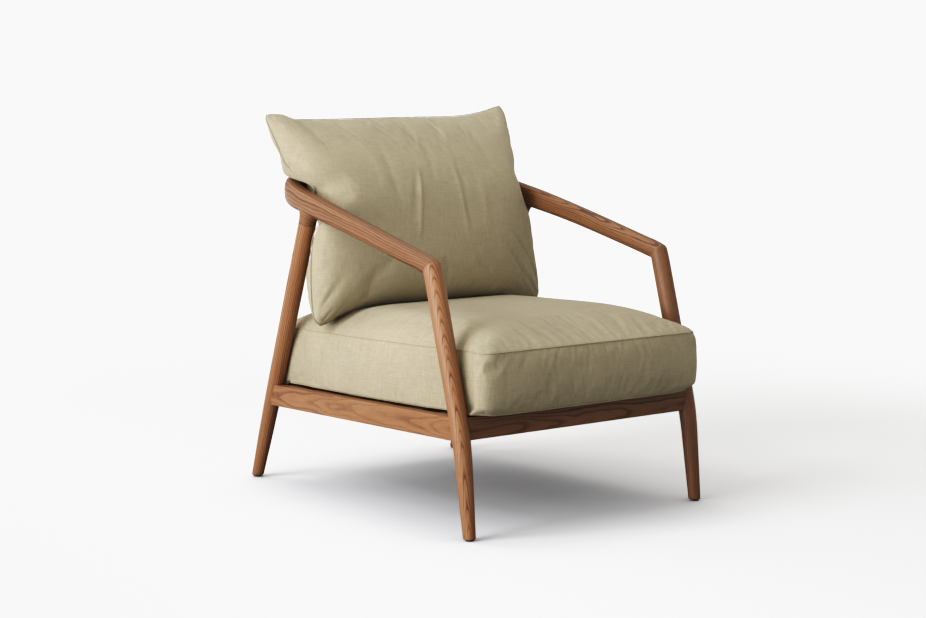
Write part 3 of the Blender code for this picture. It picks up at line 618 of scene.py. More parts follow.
def wood(name, seed, source="attribute", axis=(0, 1, 0), up=(0, 0, 1), origin=(0, 0, 0),
         pith=(0.010, -0.055), tilt=(0.02, 0.10), spacing=0.0042, warp=0.010,
         light=(0.262, 0.139, 0.073), dark=(0.090, 0.037, 0.018), contrast=0.92,
         tone=1.0, bump=0.30, lacquer=True, squeeze=1.0):
    """Open-grain timber. Rings lie round a pith beside the piece and pores
    follow the fibre."""
    n = Nodes(name)
    if source == "attribute":
        att = n.add("ShaderNodeAttribute", attribute_name="grain")
        p = att.outputs["Vector"]
    else:
        tex = n.add("ShaderNodeTexCoord")
        a = Vector(axis).normalized()
        u = (Vector(up) - a * Vector(up).dot(a)).normalized()
        side = u.cross(a)
        rel = n.vmath("SUBTRACT", tex.outputs["Object"], tuple(origin))
        p = n.join(n.vmath("DOT_PRODUCT", rel, tuple(a)), n.vmath("DOT_PRODUCT", rel, tuple(side)),
                   n.vmath("DOT_PRODUCT", rel, tuple(u)))
    p = n.vmath("ADD", p, (0.731 * seed, 0.0, 0.0))
    s, u_, v_ = n.split(p)[0], n.split(p)[1], n.split(p)[2]
    slow = n.noise(n.vmath("MULTIPLY", p, (5.5, 16.0, 16.0)), 1.0, 1.5, 0.45, out="Color")
    slow = n.vmath("SCALE", n.vmath("SUBTRACT", slow, (0.5, 0.5, 0.5)), scale=2 * warp)
    mid = n.noise(n.vmath("MULTIPLY", p, (22.0, 60.0, 60.0)), 1.0, 2.0, 0.5, out="Color")
    mid = n.vmath("SCALE", n.vmath("SUBTRACT", mid, (0.5, 0.5, 0.5)), scale=0.24 * warp)
    w = n.split(n.vmath("ADD", slow, mid))
    s_local = n.math("SUBTRACT", s, 0.731 * seed)
    du = n.math("ADD", n.math("ADD", u_, pith[0]), n.math("MULTIPLY_ADD", s_local, tilt[0], w[0]))
    dv = n.math("ADD", n.math("ADD", v_, pith[1]), n.math("MULTIPLY_ADD", s_local, tilt[1], w[1]))
    if squeeze != 1.0:
        du = n.math("MULTIPLY", du, squeeze)
    r = n.math("SQRT", n.math("ADD", n.math("MULTIPLY", du, du), n.math("MULTIPLY", dv, dv)))
    uneven = n.noise(n.join(n.math("MULTIPLY", r, 1 / (spacing * 2.6)), 0.0, seed * 3.1),
                     1.0, 1.0, 0.5)
    ragged = n.noise(n.vmath("MULTIPLY", p, (70.0, 650.0, 650.0)), 1.0, 2.0, 0.6)
    phase = n.math("ADD", n.math("MULTIPLY", r, 1 / spacing),
                   n.math("ADD", n.math("MULTIPLY", uneven, 1.5), n.math("MULTIPLY", ragged, 0.16)))
    f = n.math("FRACT", phase)
    ring_id = n.math("FLOOR", phase)
    strength = n.remap(n.white(n.math("ADD", ring_id, seed * 7.3)), 0.0, 1.0, 0.55, 1.0, False)
    band = n.ramp(f, ((0.0, (0.26,) * 3), (0.06, (1.0,) * 3), (0.19, (0.84,) * 3),
                      (0.36, (0.26,) * 3), (0.62, (0.04,) * 3), (1.0, (0.12,) * 3)))
    band = n.math("MULTIPLY", band, strength)
    pores = n.noise(n.vmath("MULTIPLY", p, (42.0, 1350.0, 1350.0)), 1.0, 2.0, 0.55)
    pores = n.remap(pores, 0.53, 0.66)
    where = n.math("MULTIPLY_ADD", band, 0.85, 0.13)
    pores = n.math("MULTIPLY", pores, where)
    fibre = n.noise(n.vmath("MULTIPLY", p, (9.0, 420.0, 420.0)), 1.0, 3.0, 0.6)
    patch = n.noise(n.vmath("MULTIPLY", p, (3.2, 22.0, 22.0)), 1.0, 2.0, 0.5)
    ray = n.noise(n.vmath("MULTIPLY", p, (120.0, 900.0, 160.0)), 1.0, 1.0, 0.5)
    # tone scales the whole colour of a piece; besides the timber's own difference it carries painted
    # light and shade, lighter for pieces in the light and darker for pieces in shade
    warm = n.mix(n.remap(patch, 0.3, 0.7), (*[c * tone for c in light], 1),
                 (light[0] * 0.90 * tone, light[1] * 0.85 * tone, light[2] * 0.80 * tone, 1))
    amount = n.math("MULTIPLY", band, contrast, clamp=True)
    colour = n.mix(amount, warm, (*[c * tone for c in dark], 1))
    colour = n.mix(1.0, colour, n.grey(n.remap(fibre, 0.25, 0.75, 0.84, 1.14, False)), "MULTIPLY")
    colour = n.mix(1.0, colour, n.grey(n.remap(ray, 0.60, 0.72, 1.0, 1.07)), "MULTIPLY")
    colour = n.mix(1.0, colour, n.grey(n.math("MULTIPLY_ADD", pores, -0.62, 1.0)), "MULTIPLY")
    n.put(n.bsdf.inputs["Base Color"], colour)
    rough = n.math("ADD", n.remap(fibre, 0.2, 0.8, 0.36, 0.47, False),
                   n.math("MULTIPLY", pores, 0.22))
    n.put(n.bsdf.inputs["Roughness"], rough)
    n.bsdf.inputs["Specular IOR Level"].default_value = 0.30
    if lacquer:
        n.bsdf.inputs["Coat Weight"].default_value = 0.05
        n.bsdf.inputs["Coat Roughness"].default_value = 0.28
    height = n.math("SUBTRACT", n.math("MULTIPLY", fibre, 0.25),
                    n.math("ADD", pores, n.math("MULTIPLY", band, 0.22)))
    n.put(n.bsdf.inputs["Normal"], n.bump(height, bump, 0.0006))
    return n.mat


def linen(name, base=(0.392, 0.340, 0.236), dark=(0.318, 0.271, 0.180), pitch=0.00070):
    """A plain weave with slubs. The weave lies in the plane that a surface
    faces, so it runs level and upright on every panel."""
    n = Nodes(name)
    tex = n.add("ShaderNodeTexCoord")
    geo = n.add("ShaderNodeNewGeometry")
    p = tex.outputs["Object"]
    wobble = n.noise(n.vmath("SCALE", p, scale=26.0), 1.0, 2.0, 0.5, out="Color")
    p = n.vmath("ADD", p, n.vmath("SCALE", n.vmath("SUBTRACT", wobble, (0.5, 0.5, 0.5)),
                                  scale=0.0022))
    px, py, pz = n.split(p)
    nx, ny, nz = n.split(n.vmath("ABSOLUTE", geo.outputs["Normal"]))
    weights = []
    for c, gain in ((nx, 1.0), (ny, 1.1), (nz, 1.05)):
        weights.append(n.math("POWER", n.math("MULTIPLY", c, gain), 9.0))
    total = n.math("ADD", n.math("ADD", weights[0], weights[1]), n.math("ADD", weights[2], 1e-5))
    k = 2 * math.pi / pitch
    height, slub = None, None
    for weight, (a, b), z in zip(weights, ((py, pz), (px, pz), (px, py)), (1.7, 4.1, 7.3)):
        share = n.math("DIVIDE", weight, total)
        sa, sb = n.math("SINE", n.math("MULTIPLY", a, k)), n.math("SINE", n.math("MULTIPLY", b, k))
        cross = n.math("MULTIPLY", sa, sb)
        threads = n.math("ADD", n.math("ABSOLUTE", n.math("SINE", n.math("MULTIPLY", a, k / 2))),
                         n.math("ABSOLUTE", n.math("SINE", n.math("MULTIPLY", b, k / 2))))
        h = n.math("MULTIPLY_ADD", cross, 0.35, n.math("MULTIPLY", threads, 0.5))
        h = n.math("MULTIPLY", h, share)
        height = h if height is None else n.math("ADD", height, h)
        warp_t = n.noise(n.join(n.math("MULTIPLY", a, 760.0), n.math("MULTIPLY", b, 34.0), z),
                         1.0, 2.0, 0.65)
        weft_t = n.noise(n.join(n.math("MULTIPLY", a, 28.0), n.math("MULTIPLY", b, 760.0), z + 3),
                         1.0, 2.0, 0.65)
        t = n.math("MULTIPLY_ADD", warp_t, 0.55, n.math("MULTIPLY", weft_t, 0.45))
        t = n.math("MULTIPLY", t, share)
        slub = t if slub is None else n.math("ADD", slub, t)
    cloud = n.noise(n.vmath("SCALE", p, scale=7.0), 1.0, 3.0, 0.55)
    colour = n.mix(n.remap(slub, 0.36, 0.64), (*dark, 1), (*base, 1))
    colour = n.mix(1.0, colour, n.grey(n.remap(cloud, 0.3, 0.7, 0.95, 1.05, False)), "MULTIPLY")
    # painted shade and light in the weave: the hollows between threads are darkened and the thread crowns
    # lightened by the weave height
    colour = n.mix(1.0, colour, n.grey(n.remap(height, 0.0, 0.95, 0.84, 1.07, False)), "MULTIPLY")
    n.put(n.bsdf.inputs["Base Color"], colour)
    n.put(n.bsdf.inputs["Roughness"], n.remap(slub, 0.3, 0.7, 0.93, 0.82, False))
    n.bsdf.inputs["Specular IOR Level"].default_value = 0.25
    n.bsdf.inputs["Sheen Weight"].default_value = 0.16
    n.bsdf.inputs["Sheen Roughness"].default_value = 0.55
    n.bsdf.inputs["Sheen Tint"].default_value = (1.0, 0.96, 0.86, 1.0)
    fine = n.bump(height, 0.35, 0.00022)
    n.put(n.bsdf.inputs["Normal"], n.bump(slub, 0.45, 0.0012, fine))
    return n.mat


def steel(name):
    n = Nodes(name)
    tex = n.add("ShaderNodeTexCoord")
    grain = n.noise(n.vmath("MULTIPLY", tex.outputs["Object"], (900.0, 900.0, 200.0)), 1.0, 2.0)
    stain = n.noise(n.vmath("SCALE", tex.outputs["Object"], scale=120.0), 1.0, 3.0)
    n.put(n.bsdf.inputs["Base Color"], n.mix(n.remap(stain, 0.35, 0.65), (0.60, 0.58, 0.52, 1),
                                             (0.46, 0.45, 0.42, 1)))
    n.bsdf.inputs["Metallic"].default_value = 1.0
    n.put(n.bsdf.inputs["Roughness"], n.remap(grain, 0.3, 0.7, 0.28, 0.44, False))
    n.put(n.bsdf.inputs["Normal"], n.bump(grain, 0.15, 0.0002))
    return n.mat


def nylon(name):
    n = Nodes(name)
    tex = n.add("ShaderNodeTexCoord")
    pit = n.noise(n.vmath("SCALE", tex.outputs["Object"], scale=1400.0), 1.0, 2.0)
    scuff = n.noise(n.vmath("MULTIPLY", tex.outputs["Object"], (300.0, 300.0, 40.0)), 1.0, 3.0)
    n.put(n.bsdf.inputs["Base Color"], n.mix(n.remap(scuff, 0.45, 0.7), (0.045, 0.040, 0.036, 1),
                                             (0.085, 0.078, 0.070, 1)))
    n.put(n.bsdf.inputs["Roughness"], n.remap(pit, 0.3, 0.7, 0.48, 0.66, False))
    n.put(n.bsdf.inputs["Normal"], n.bump(pit, 0.2, 0.0002))
    return n.mat


# ------------------------------------------------------------ the outer frame
def paint(obj, material):
    obj.data.materials.clear()
    obj.data.materials.append(material)


FRAME_SKINS = build_frame_skins()
for side, word in SIDES:
    FRAME_SKINS[f"rear_leg_{word}"] = rear_leg_skin(side, word)

# each piece's tone is partly its own and partly painted light and shade: the right front leg is darkened
# for the shade it stands in, the arms darkened against the light on their tops, and the left legs, on the
# lit side, lightened most
LOOK = {
    "front_leg_left": dict(seed=1.0, pith=(-0.0125, -0.0226), tilt=(-0.034, -0.078),
                           spacing=0.0031, warp=0.0046, squeeze=1.5, tone=1.34),
    "front_leg_right": dict(seed=2.0, pith=(0.012, -0.0220), tilt=(0.030, -0.070),
                            spacing=0.0033, warp=0.0050, squeeze=1.4, tone=0.90),
    "arm_left": dict(seed=3.0, pith=(0.030, -0.050), tilt=(0.014, 0.034), spacing=0.0044,
                     warp=0.0085, tone=0.90, contrast=1.05),
    "arm_right": dict(seed=4.0, pith=(-0.030, -0.050), tilt=(0.014, 0.032), spacing=0.0044,
                      warp=0.0085, tone=0.96, contrast=1.05),
    "back_rail": dict(seed=5.0, pith=(0.01, -0.060), tilt=(0.01, 0.02), spacing=0.0038,
                      warp=0.008),
    "rear_leg_left": dict(seed=6.0, pith=(0.040, -0.040), tilt=(0.05, 0.03), spacing=0.0040,
                          warp=0.007, tone=1.28),
    "rear_leg_right": dict(seed=7.0, pith=(-0.040, -0.035), tilt=(0.05, 0.03), spacing=0.0040,
                           warp=0.007, tone=1.15),
}
for node, obj in FRAME_SKINS.items():
    side = -1 if node.endswith("left") else 1
    if node.startswith("front_leg"):
        zs = np.linspace(0.0, CORNER_Z + 0.03, 40)
        line = [Vector((side * FRONT_LEG_X, front_centre(z), z)) + SHIFT for z in zs]
        ups = [Vector((0, -1, 0.2))] * len(line)
    elif node.startswith("rear_leg"):
        foot, axis, length = rear_axis(side)
        line = [foot, foot + axis * length]
        ups = [Vector((0, 1, 0.2))] * 2
    elif node == "back_rail":
        last = len(LINE) - 1
        ks = list(range(JOINT - 4, last + 1, 2))
        line = [line_point(-1, k) for k in ks] + [line_point(1, k) for k in reversed(ks[:-1])]
        ups = [Vector((0, 0, 1))] * len(line)
    else:
        ks = list(range(0, JOINT + 5, 2))
        first = Vector((side * FRONT_LEG_X, CORNER_Y, CORNER_Z)) + SHIFT - ARM_BACK * 0.03
        line = [first] + [line_point(side, k) for k in ks]
        ups = [Vector((0, 0, 1))] * len(line)
    set_grain(obj, line, ups)
    paint(obj, wood(f"ash_{node}", **LOOK[node]))
    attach(obj, "root")
    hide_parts(node)

# the seat rails and the pieces inside the frame keep their own shapes
for name, obj in NODES.items():
    if obj.hide_render or name in ("seat_cushion", "back_cushion"):
        continue
    lo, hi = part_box(name)
    size = hi - lo
    centre = (lo + hi) / 2
    longest = max(range(3), key=lambda i: size[i])
    axis = [0, 0, 0]
    axis[longest] = 1
    seed = 10 + (sum(ord(c) * (i + 3) for i, c in enumerate(name)) % 97) / 3.0
    if "screw" in name:
        material = steel(f"zinc_{name}")
    elif "glide" in name:
        material = nylon(f"nylon_{name}")
    # the rails' tones are partly painted light and shade: the front rail is darkened for the shade under
    # the seat, the rear rail sharing its tone, and the side rails lightened where the light falls from
    # the left
    elif name in ("front_rail", "rear_rail"):
        material = wood(f"ash_{name}", seed, "object", (1, 0, 0), (0, 0, 1), tuple(centre),
                        pith=(0.070, 0.012), tilt=(0.008, 0.004), spacing=0.0028, warp=0.005,
                        tone=0.84)
    elif name.startswith("side_rail"):
        hand = 1 if name.endswith("left") else -1
        material = wood(f"ash_{name}", seed, "object", (0, 1, -0.025), (0, 0, 1), tuple(centre),
                        pith=(0.024 * hand, -0.002), tilt=(0.055 * hand, 0.006), spacing=0.0046,
                        warp=0.0075, contrast=0.55, tone=1.12)
    else:
        up = (0, 0, 1) if longest != 2 else (0, 1, 0)
        material = wood(f"beech_{name}", seed, "object", tuple(axis), up, tuple(centre),
                        pith=(0.02, -0.06), tilt=(0.01, 0.02), spacing=0.0030, warp=0.006,
                        light=(0.190, 0.104, 0.062), dark=(0.100, 0.046, 0.024), contrast=0.5,
                        bump=0.15, lacquer=False)
    for k in range(len(obj.material_slots)):
        obj.material_slots[k].material = material
    if not obj.material_slots:
        obj.data.materials.append(material)
    weld = obj.modifiers.new("weld", "WELD")
    weld.merge_threshold = 0.00002
    if "rail" in name or "slat_screw" not in name and name.startswith("seat_slat") or "block" in name or (
            name.startswith("slat_cleat")):
        flat = obj.modifiers.new("flat", "DECIMATE")
        flat.decimate_type = "DISSOLVE"
        flat.angle_limit = math.radians(0.6)
        edge = obj.modifiers.new("edges", "BEVEL")
        edge.width = (0.0028 if name.startswith("side_rail") else
                      0.0018 if "rail" in name else 0.0012)
        edge.segments = 3
        edge.limit_method = "ANGLE"
        edge.angle_limit = math.radians(48)
        edge.use_clamp_overlap = True
        edge.harden_normals = False


# ---------------------------------------------------------------- cushions
def box_lattice(nx, ny, nz):
    """A closed grid over a box: bmesh, and (u, w, h) for each vertex."""
    bm = bmesh.new()
    verts, lattice = {}, []

    def vert(i, j, k):
        key = (i, j, k)
        if key not in verts:
            verts[key] = bm.verts.new((2 * i / nx - 1, 2 * j / ny - 1, 2 * k / nz - 1))
        return verts[key]

    for i in range(nx):
        for j in range(ny):
            for k, flip in ((0, True), (nz, False)):
                q = [vert(i, j, k), vert(i + 1, j, k), vert(i + 1, j + 1, k), vert(i, j + 1, k)]
                bm.faces.new(q[::-1] if flip else q)
    for i in range(nx):
        for k in range(nz):
            for j, flip in ((0, False), (ny, True)):
                q = [vert(i, j, k), vert(i + 1, j, k), vert(i + 1, j, k + 1), vert(i, j, k + 1)]
                bm.faces.new(q[::-1] if flip else q)
    for j in range(ny):
        for k in range(nz):
            for i, flip in ((0, True), (nx, False)):
                q = [vert(i, j, k), vert(i, j + 1, k), vert(i, j + 1, k + 1), vert(i, j, k + 1)]
                bm.faces.new(q[::-1] if flip else q)
    mesh = mesh_from_bmesh("lattice", bm)
    return mesh, coords_of(mesh)


def value_noise(points, scale, seed):
    """Smooth repeatable noise, -1 to 1, for an array of 2D or 3D points."""
    p = np.asarray(points, float) * scale + seed * 17.31
    base = np.floor(p).astype(np.int64)
    f = p - base
    f = f * f * (3 - 2 * f)
    dims = p.shape[1]
    total = np.zeros(len(p))
    for corner in range(2 ** dims):
        bits = [(corner >> d) & 1 for d in range(dims)]
        h = np.full(len(p), seed * 7919 + 12345, dtype=np.int64)
        w = np.ones(len(p))
        for d in range(dims):
            h = (h * 73856093) ^ ((base[:, d] + bits[d]) * (19349663 + 83492791 * d))
            w *= f[:, d] if bits[d] else 1 - f[:, d]
        h = (h ^ (h >> 13)) * 1274126177
        h = (h ^ (h >> 16)) & 0xFFFF
        total += w * (h / 32767.5 - 1)
    return total


def bvh_of(node):
    obj = NODES[node]
    mesh = obj.data
    verts = [v.co.copy() for v in mesh.vertices]
    polys = [tuple(p.vertices) for p in mesh.polygons]
    return BVHTree.FromPolygons(verts, polys)


def keep_clear(co, nodes, margin):
    """Moves points out of, and a little away from, the rigid pieces."""
    for node in nodes:
        tree = bvh_of(node)
        lo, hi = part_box(node)
        lo, hi = np.array(lo) - 0.03, np.array(hi) + 0.03
        inside = np.all((co > lo) & (co < hi), axis=1)
        for i in np.nonzero(inside)[0]:
            p = Vector(co[i])
            near, normal, _, dist = tree.find_nearest(p)
            if near is None:
                continue
            signed = (p - near).dot(normal)
            if signed < 0 or dist < margin:
                co[i] = near + normal * margin if signed < 0 or dist < 1e-6 else (
                    near + (p - near) / dist * margin)
    return co


def cloth(obj, frames, pressure, pin=None, growth=0.0, bending=0.4, tension=15.0, mass=0.3,
          cap=0.022):
    """Inflates a closed skin, then applies the result, capped."""
    scene = bpy.context.scene
    start = coords_of(obj.data)
    mod = obj.modifiers.new("cloth", "CLOTH")
    s = mod.settings
    s.quality = 5
    s.mass = mass
    s.tension_stiffness = s.compression_stiffness = tension
    s.shear_stiffness = tension * 0.35
    s.bending_stiffness = bending
    s.tension_damping = s.compression_damping = s.shear_damping = 6
    s.air_damping = 2.0
    s.use_pressure = True
    s.uniform_pressure_force = pressure
    s.shrink_min = -growth
    s.effector_weights.gravity = 0.0
    if pin:
        s.vertex_group_mass = pin
        s.pin_stiffness = 1.0
    mod.collision_settings.use_collision = False
    mod.collision_settings.use_self_collision = False
    mod.point_cache.frame_start = 1
    mod.point_cache.frame_end = frames
    for f in range(1, frames + 1):
        scene.frame_set(f)
    apply_modifiers(obj)
    scene.frame_set(1)
    co = coords_of(obj.data)
    move = co - start
    length = np.linalg.norm(move, axis=1)
    limit = cap * np.tanh(length / cap)
    co = start + move * (limit / np.maximum(length, 1e-9))[:, None]
    set_coords(obj.data, co)
    return obj


def subdivide(obj, levels=1):
    mod = obj.modifiers.new("fine", "SUBSURF")
    mod.levels = mod.render_levels = levels
    return apply_modifiers(obj)


def tube(name, points, radius, closed, sides=10, side_share=1.0):
    """A round welt through points, thinner along the sides if asked."""
    reach = max(abs(p[0]) for p in points)
    curve = bpy.data.curves.new(name, "CURVE")
    curve.dimensions = "3D"
    curve.bevel_depth = radius
    curve.bevel_resolution = max(1, sides // 4)
    curve.use_fill_caps = True
    spline = curve.splines.new("POLY")
    spline.points.add(len(points) - 1)
    for point, co in zip(spline.points, points):
        point.co = (*co, 1)
        point.radius = 1.0 - (1.0 - side_share) * smoothstep((abs(co[0]) / reach - 0.93) / 0.05)
    spline.use_cyclic_u = closed
    holder = bpy.data.objects.new(name + "_line", curve)
    bpy.context.scene.collection.objects.link(holder)
    mesh = evaluated_mesh(holder, name)
    bpy.data.objects.remove(holder)
    bm = bmesh.new()
    bm.from_mesh(mesh)
    bmesh.ops.remove_doubles(bm, verts=bm.verts, dist=0.00001)
    face_outward(bm)
    bm.to_mesh(mesh)
    bm.free()
    return new_object(name, mesh)


LINEN = linen("linen_cover")
LINEN_WELT = linen("linen_seam", base=(0.382, 0.330, 0.228), dark=(0.308, 0.262, 0.172))

# ---- seat cushion
SEAT_FRONT_Y, SEAT_REAR_Y = -0.0360, 0.7950
SEAT_WIDTH = ((-0.0360, 0.3270), (0.0000, 0.3260), (0.0150, 0.3115), (0.1150, 0.3115),
              (0.1700, 0.3190), (0.4500, 0.3190), (0.6300, 0.3060), (0.6800, 0.2950),
              (0.7950, 0.2945))
SEAT_SIDE_H, SEAT_CROWN = 0.140, 0.058
SIDE_MID = 0.2100 + 0.025
DECK_Y0 = front_centre(SIDE_MID)


def rail_top_z(y):
    return SIDE_MID + 0.025 - 0.0250 * (y - DECK_Y0)


def seat_shape(uwh, inset):
    out = np.empty_like(uwh)
    ws = np.array([r[0] for r in SEAT_WIDTH])
    hs = np.array([r[1] for r in SEAT_WIDTH])
    u, w, h = uwh.T
    mid, half = (SEAT_FRONT_Y + SEAT_REAR_Y) / 2, (SEAT_REAR_Y - SEAT_FRONT_Y) / 2
    # less room for the swell where the cushion runs back beside the rear legs
    inset = inset * (1 - 0.75 * np_smooth((w - 0.45) / 0.25))
    # the lower seam tucks under, and the upper one sits just inside the faces
    tuck = 0.0135 * np.clip((-0.72 - h) / 0.28, 0, 1) ** 2 + 0.0015 * np.clip((h - 0.80) / 0.20, 0, 1)
    tuck = tuck + 0.0045 * (1 - np.clip(h, -1, 1) ** 2) * -1 * np_smooth(
        (np.minimum(np.abs(u), np.abs(w)) - 0.80) / 0.18)
    reach = np.maximum(np.abs(u), np.abs(w))
    # along the sides the lower seam stays out, close above the rail
    low_out = 0.0180 * np.clip((-0.72 - h) / 0.28, 0, 1) ** 2 * np_smooth((0.97 - np.abs(w)) / 0.08)
    x_half = np.interp(mid + w * half, ws, hs) - inset - (tuck - low_out) * reach ** 8
    y_half = half - inset - tuck * reach ** 8
    x, y = u * x_half, w * y_half
    # corners of the plan follow a round of CORNER metres
    corner = 0.034
    cx, cy = x_half - corner, y_half - corner
    ax, ay = np.abs(x) - cx, np.abs(y) - cy
    at = (ax > 0) & (ay > 0)
    far = np.maximum(ax, ay)
    length = np.sqrt(np.maximum(ax, 0) ** 2 + np.maximum(ay, 0) ** 2)
    scale = np.where(at, far / np.maximum(length, 1e-9), 1.0)
    x = np.where(at, np.sign(x) * (cx + ax * scale), x)
    y = np.where(at, np.sign(y) * (cy + ay * scale), y)
    y = mid + y
    base = rail_top_z(y) + 0.0026
    z = base + (h + 1) / 2 * (SEAT_SIDE_H - 0.0040)
    z = z + 0.0034 * np.abs(u) ** 8 * np.clip((-0.60 - h) / 0.40, 0, 1)
    crown = SEAT_CROWN * np.maximum(0.0, 1 - np.abs(u) ** 7.0) ** 0.55 * (
        np.maximum(0.0, 1 - np.abs(w) ** 4.0) ** 0.66)
    z = z + np.where(h > 0.999, crown, 0.0)
    out[:, 0], out[:, 1], out[:, 2] = x, y + SHIFT.y, z
    return out


def settle_seat(co, uwh):
    """Brings the crown to its height, and lets the back cushion press on it."""
    u, w, h = uwh.T
    top = h > 0.999
    y = co[:, 1] - SHIFT.y
    rim = rail_top_z(y) + 0.0026 + SEAT_SIDE_H - 0.0040
    rise = co[:, 2] - rim
    peak = np.percentile(rise[top & (np.abs(u) < 0.3) & (np.abs(w) < 0.4)], 90)
    target = 0.0635
    co[:, 2] = np.where(top, rim + rise * (target / peak), co[:, 2])
    under = np_smooth((y - 0.500) / 0.065) * np_smooth((0.670 - y) / 0.095)
    co[:, 2] -= np.where(top, 0.0075 * under * np_smooth((1.0 - np.abs(u)) / 0.25), 0.0)
    return co


def build_seat():
    nx, ny, nz = ((106, 138, 24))
    mesh, uwh = box_lattice(nx, ny, nz)
    u, w, h = uwh.T
    co = seat_shape(uwh, 0.0085)
    set_coords(mesh, co)
    obj = new_object("seat_cushion_cover", mesh)
    edge_top = (h > 0.999) & (np.maximum(np.abs(u), np.abs(w)) > 0.999)
    edge_low = (h < -0.999)
    pin = obj.vertex_groups.new(name="pin")
    pin.add([int(i) for i in np.nonzero(edge_top | edge_low)[0]], 1.0, "REPLACE")
    cloth(obj, 20, 3.2, "pin", growth=0.015, bending=0.28, cap=0.012)
    set_coords(obj.data, settle_seat(coords_of(obj.data), uwh))
    return obj, uwh, (nx, ny, nz)


def grid_path(uwh, want, count):
    """Vertex ids along the rim of the plan at one height, in order."""
    u, w, h = uwh.T
    ids = np.nonzero(want)[0]
    ang = np.arctan2(w[ids], u[ids])
    return ids[np.argsort(ang)]


def finish_cushion(obj, clear_of, margin):
    """Moves the cover clear of the frame, and spreads each push so it stays smooth."""
    start = coords_of(obj.data)
    push = keep_clear(start.copy(), clear_of, margin) - start
    edges = np.empty(len(obj.data.edges) * 2, np.int32)
    obj.data.edges.foreach_get("vertices", edges)
    a, b = edges.reshape(-1, 2).T
    count = np.bincount(a, minlength=len(start)) + np.bincount(b, minlength=len(start))
    for _ in range(10):
        near = np.zeros_like(push)
        for c in range(3):
            near[:, c] = (np.bincount(a, push[b, c], len(start))
                          + np.bincount(b, push[a, c], len(start))) / count
        push = 0.4 * push + 0.6 * near
    co = keep_clear(start + push, clear_of, margin)
    set_coords(obj.data, co)


seat, seat_uwh, seat_n = build_seat()
su, sw, sh = seat_uwh.T
rim_top = grid_path(seat_uwh, (sh > 0.999) & (np.maximum(np.abs(su), np.abs(sw)) > 0.999), 0)
rim_low = grid_path(seat_uwh, (sh < -0.999) & (np.maximum(np.abs(su), np.abs(sw)) > 0.999), 0)
SEAT_CLEAR = ["front_rail", "rear_rail", "side_rail_left", "side_rail_right",
              "front_leg_left", "front_leg_right", "rear_leg_left", "rear_leg_right"]
finish_cushion(seat, SEAT_CLEAR, 0.0022)
seat_co = coords_of(seat.data)
top_line = [Vector(seat_co[i]) for i in rim_top]
low_line = [Vector(seat_co[i]) for i in rim_low]
subdivide(seat)
finish_cushion(seat, SEAT_CLEAR, 0.0020)
seat.name = "seat_cushion_cover"
paint(seat, LINEN)
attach(seat, "root")
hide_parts("seat_cushion")
for name, line, r in (("seat_welt_top", top_line, 0.0013), ("seat_welt_low", low_line, 0.0012)):
    centre = sum(line, Vector()) / len(line)
    moved = [p + Vector(((p.x - centre.x), (p.y - centre.y), 0)).normalized() * 0.0004 for p in line]
    welt = tube(name, moved, r, True, side_share=0.45)
    paint(welt, LINEN_WELT)
    welt.parent = None
    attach(welt, "root")

# ---- back cushion
BACK_SHAPE = (                                 # z, y, half width left and right, power, thick
    (0.4240, 0.5680, 0.3430, 0.3390, 2.4, 0.100),
    (0.4700, 0.5850, 0.3400, 0.3350, 2.6, 0.104),
    (0.5300, 0.5950, 0.3350, 0.3250, 3.0, 0.103),
    (0.5800, 0.5990, 0.3300, 0.3110, 4.0, 0.097),
    (0.6150, 0.6030, 0.3270, 0.3030, 5.0, 0.090),
    (0.6400, 0.6120, 0.3230, 0.2960, 5.6, 0.091),
    (0.6600, 0.6240, 0.3060, 0.2920, 5.8, 0.098),
    (0.6800, 0.6360, 0.2935, 0.2900, 6.0, 0.104),
    (0.7050, 0.6480, 0.2940, 0.2920, 5.6, 0.104),
    (0.7220, 0.6570, 0.3010, 0.2950, 5.2, 0.104),
    (0.7340, 0.6635, 0.3160, 0.3010, 4.8, 0.103),
    (0.7430, 0.6685, 0.3280, 0.3070, 4.5, 0.102),
    (0.7520, 0.6730, 0.3350, 0.3120, 4.3, 0.102),
    (0.7700, 0.6830, 0.3380, 0.3210, 4.0, 0.100),
    (0.7950, 0.6970, 0.3420, 0.3330, 3.4, 0.098),
    (0.8400, 0.7190, 0.3480, 0.3540, 2.7, 0.096),
    (0.8800, 0.7390, 0.3540, 0.3650, 2.4, 0.094),
    (0.9060, 0.7515, 0.3590, 0.3670, 2.3, 0.092),
)
TOP_EDGE = ((-1.0, -0.0160), (-0.94, -0.0140), (-0.85, -0.0155), (-0.80, -0.0220),
            (-0.76, -0.0270), (-0.60, -0.0275), (-0.16, -0.0260), (0.27, -0.0245),
            (0.54, -0.0245), (0.70, -0.0200), (0.82, -0.0130), (0.93, -0.0030), (1.0, 0.0010))
LOW_EDGE = ((-1.0, -0.0170), (-0.95, -0.0190), (-0.88, -0.0130), (-0.82, -0.0030),
            (-0.76, 0.0040), (-0.66, 0.0085), (-0.50, 0.0110), (0.0, 0.0135), (0.58, 0.0100),
            (0.86, 0.0040), (1.0, -0.0010))
CREASES = (                                    # x and z at the top, at the foot, width, height
    (-0.044, 0.775, -0.084, 0.590, 0.0042, 0.0026), (-0.056, 0.760, -0.094, 0.630, 0.0060, -0.0016),
    (-0.118, 0.842, -0.130, 0.660, 0.0080, -0.0016), (-0.165, 0.835, -0.150, 0.700, 0.0100, 0.0013),
    (0.010, 0.850, -0.012, 0.720, 0.0070, -0.0014), (0.070, 0.800, 0.062, 0.580, 0.0052, 0.0015),
    (0.082, 0.790, 0.076, 0.600, 0.0070, -0.0014), (0.130, 0.760, 0.126, 0.590, 0.0080, 0.0012),
    (-0.205, 0.560, -0.218, 0.452, 0.0085, -0.0018), (-0.240, 0.545, -0.262, 0.440, 0.0100, 0.0015),
    (0.190, 0.850, 0.176, 0.740, 0.0100, -0.0013), (-0.020, 0.880, -0.050, 0.800, 0.0080, 0.0014),
)


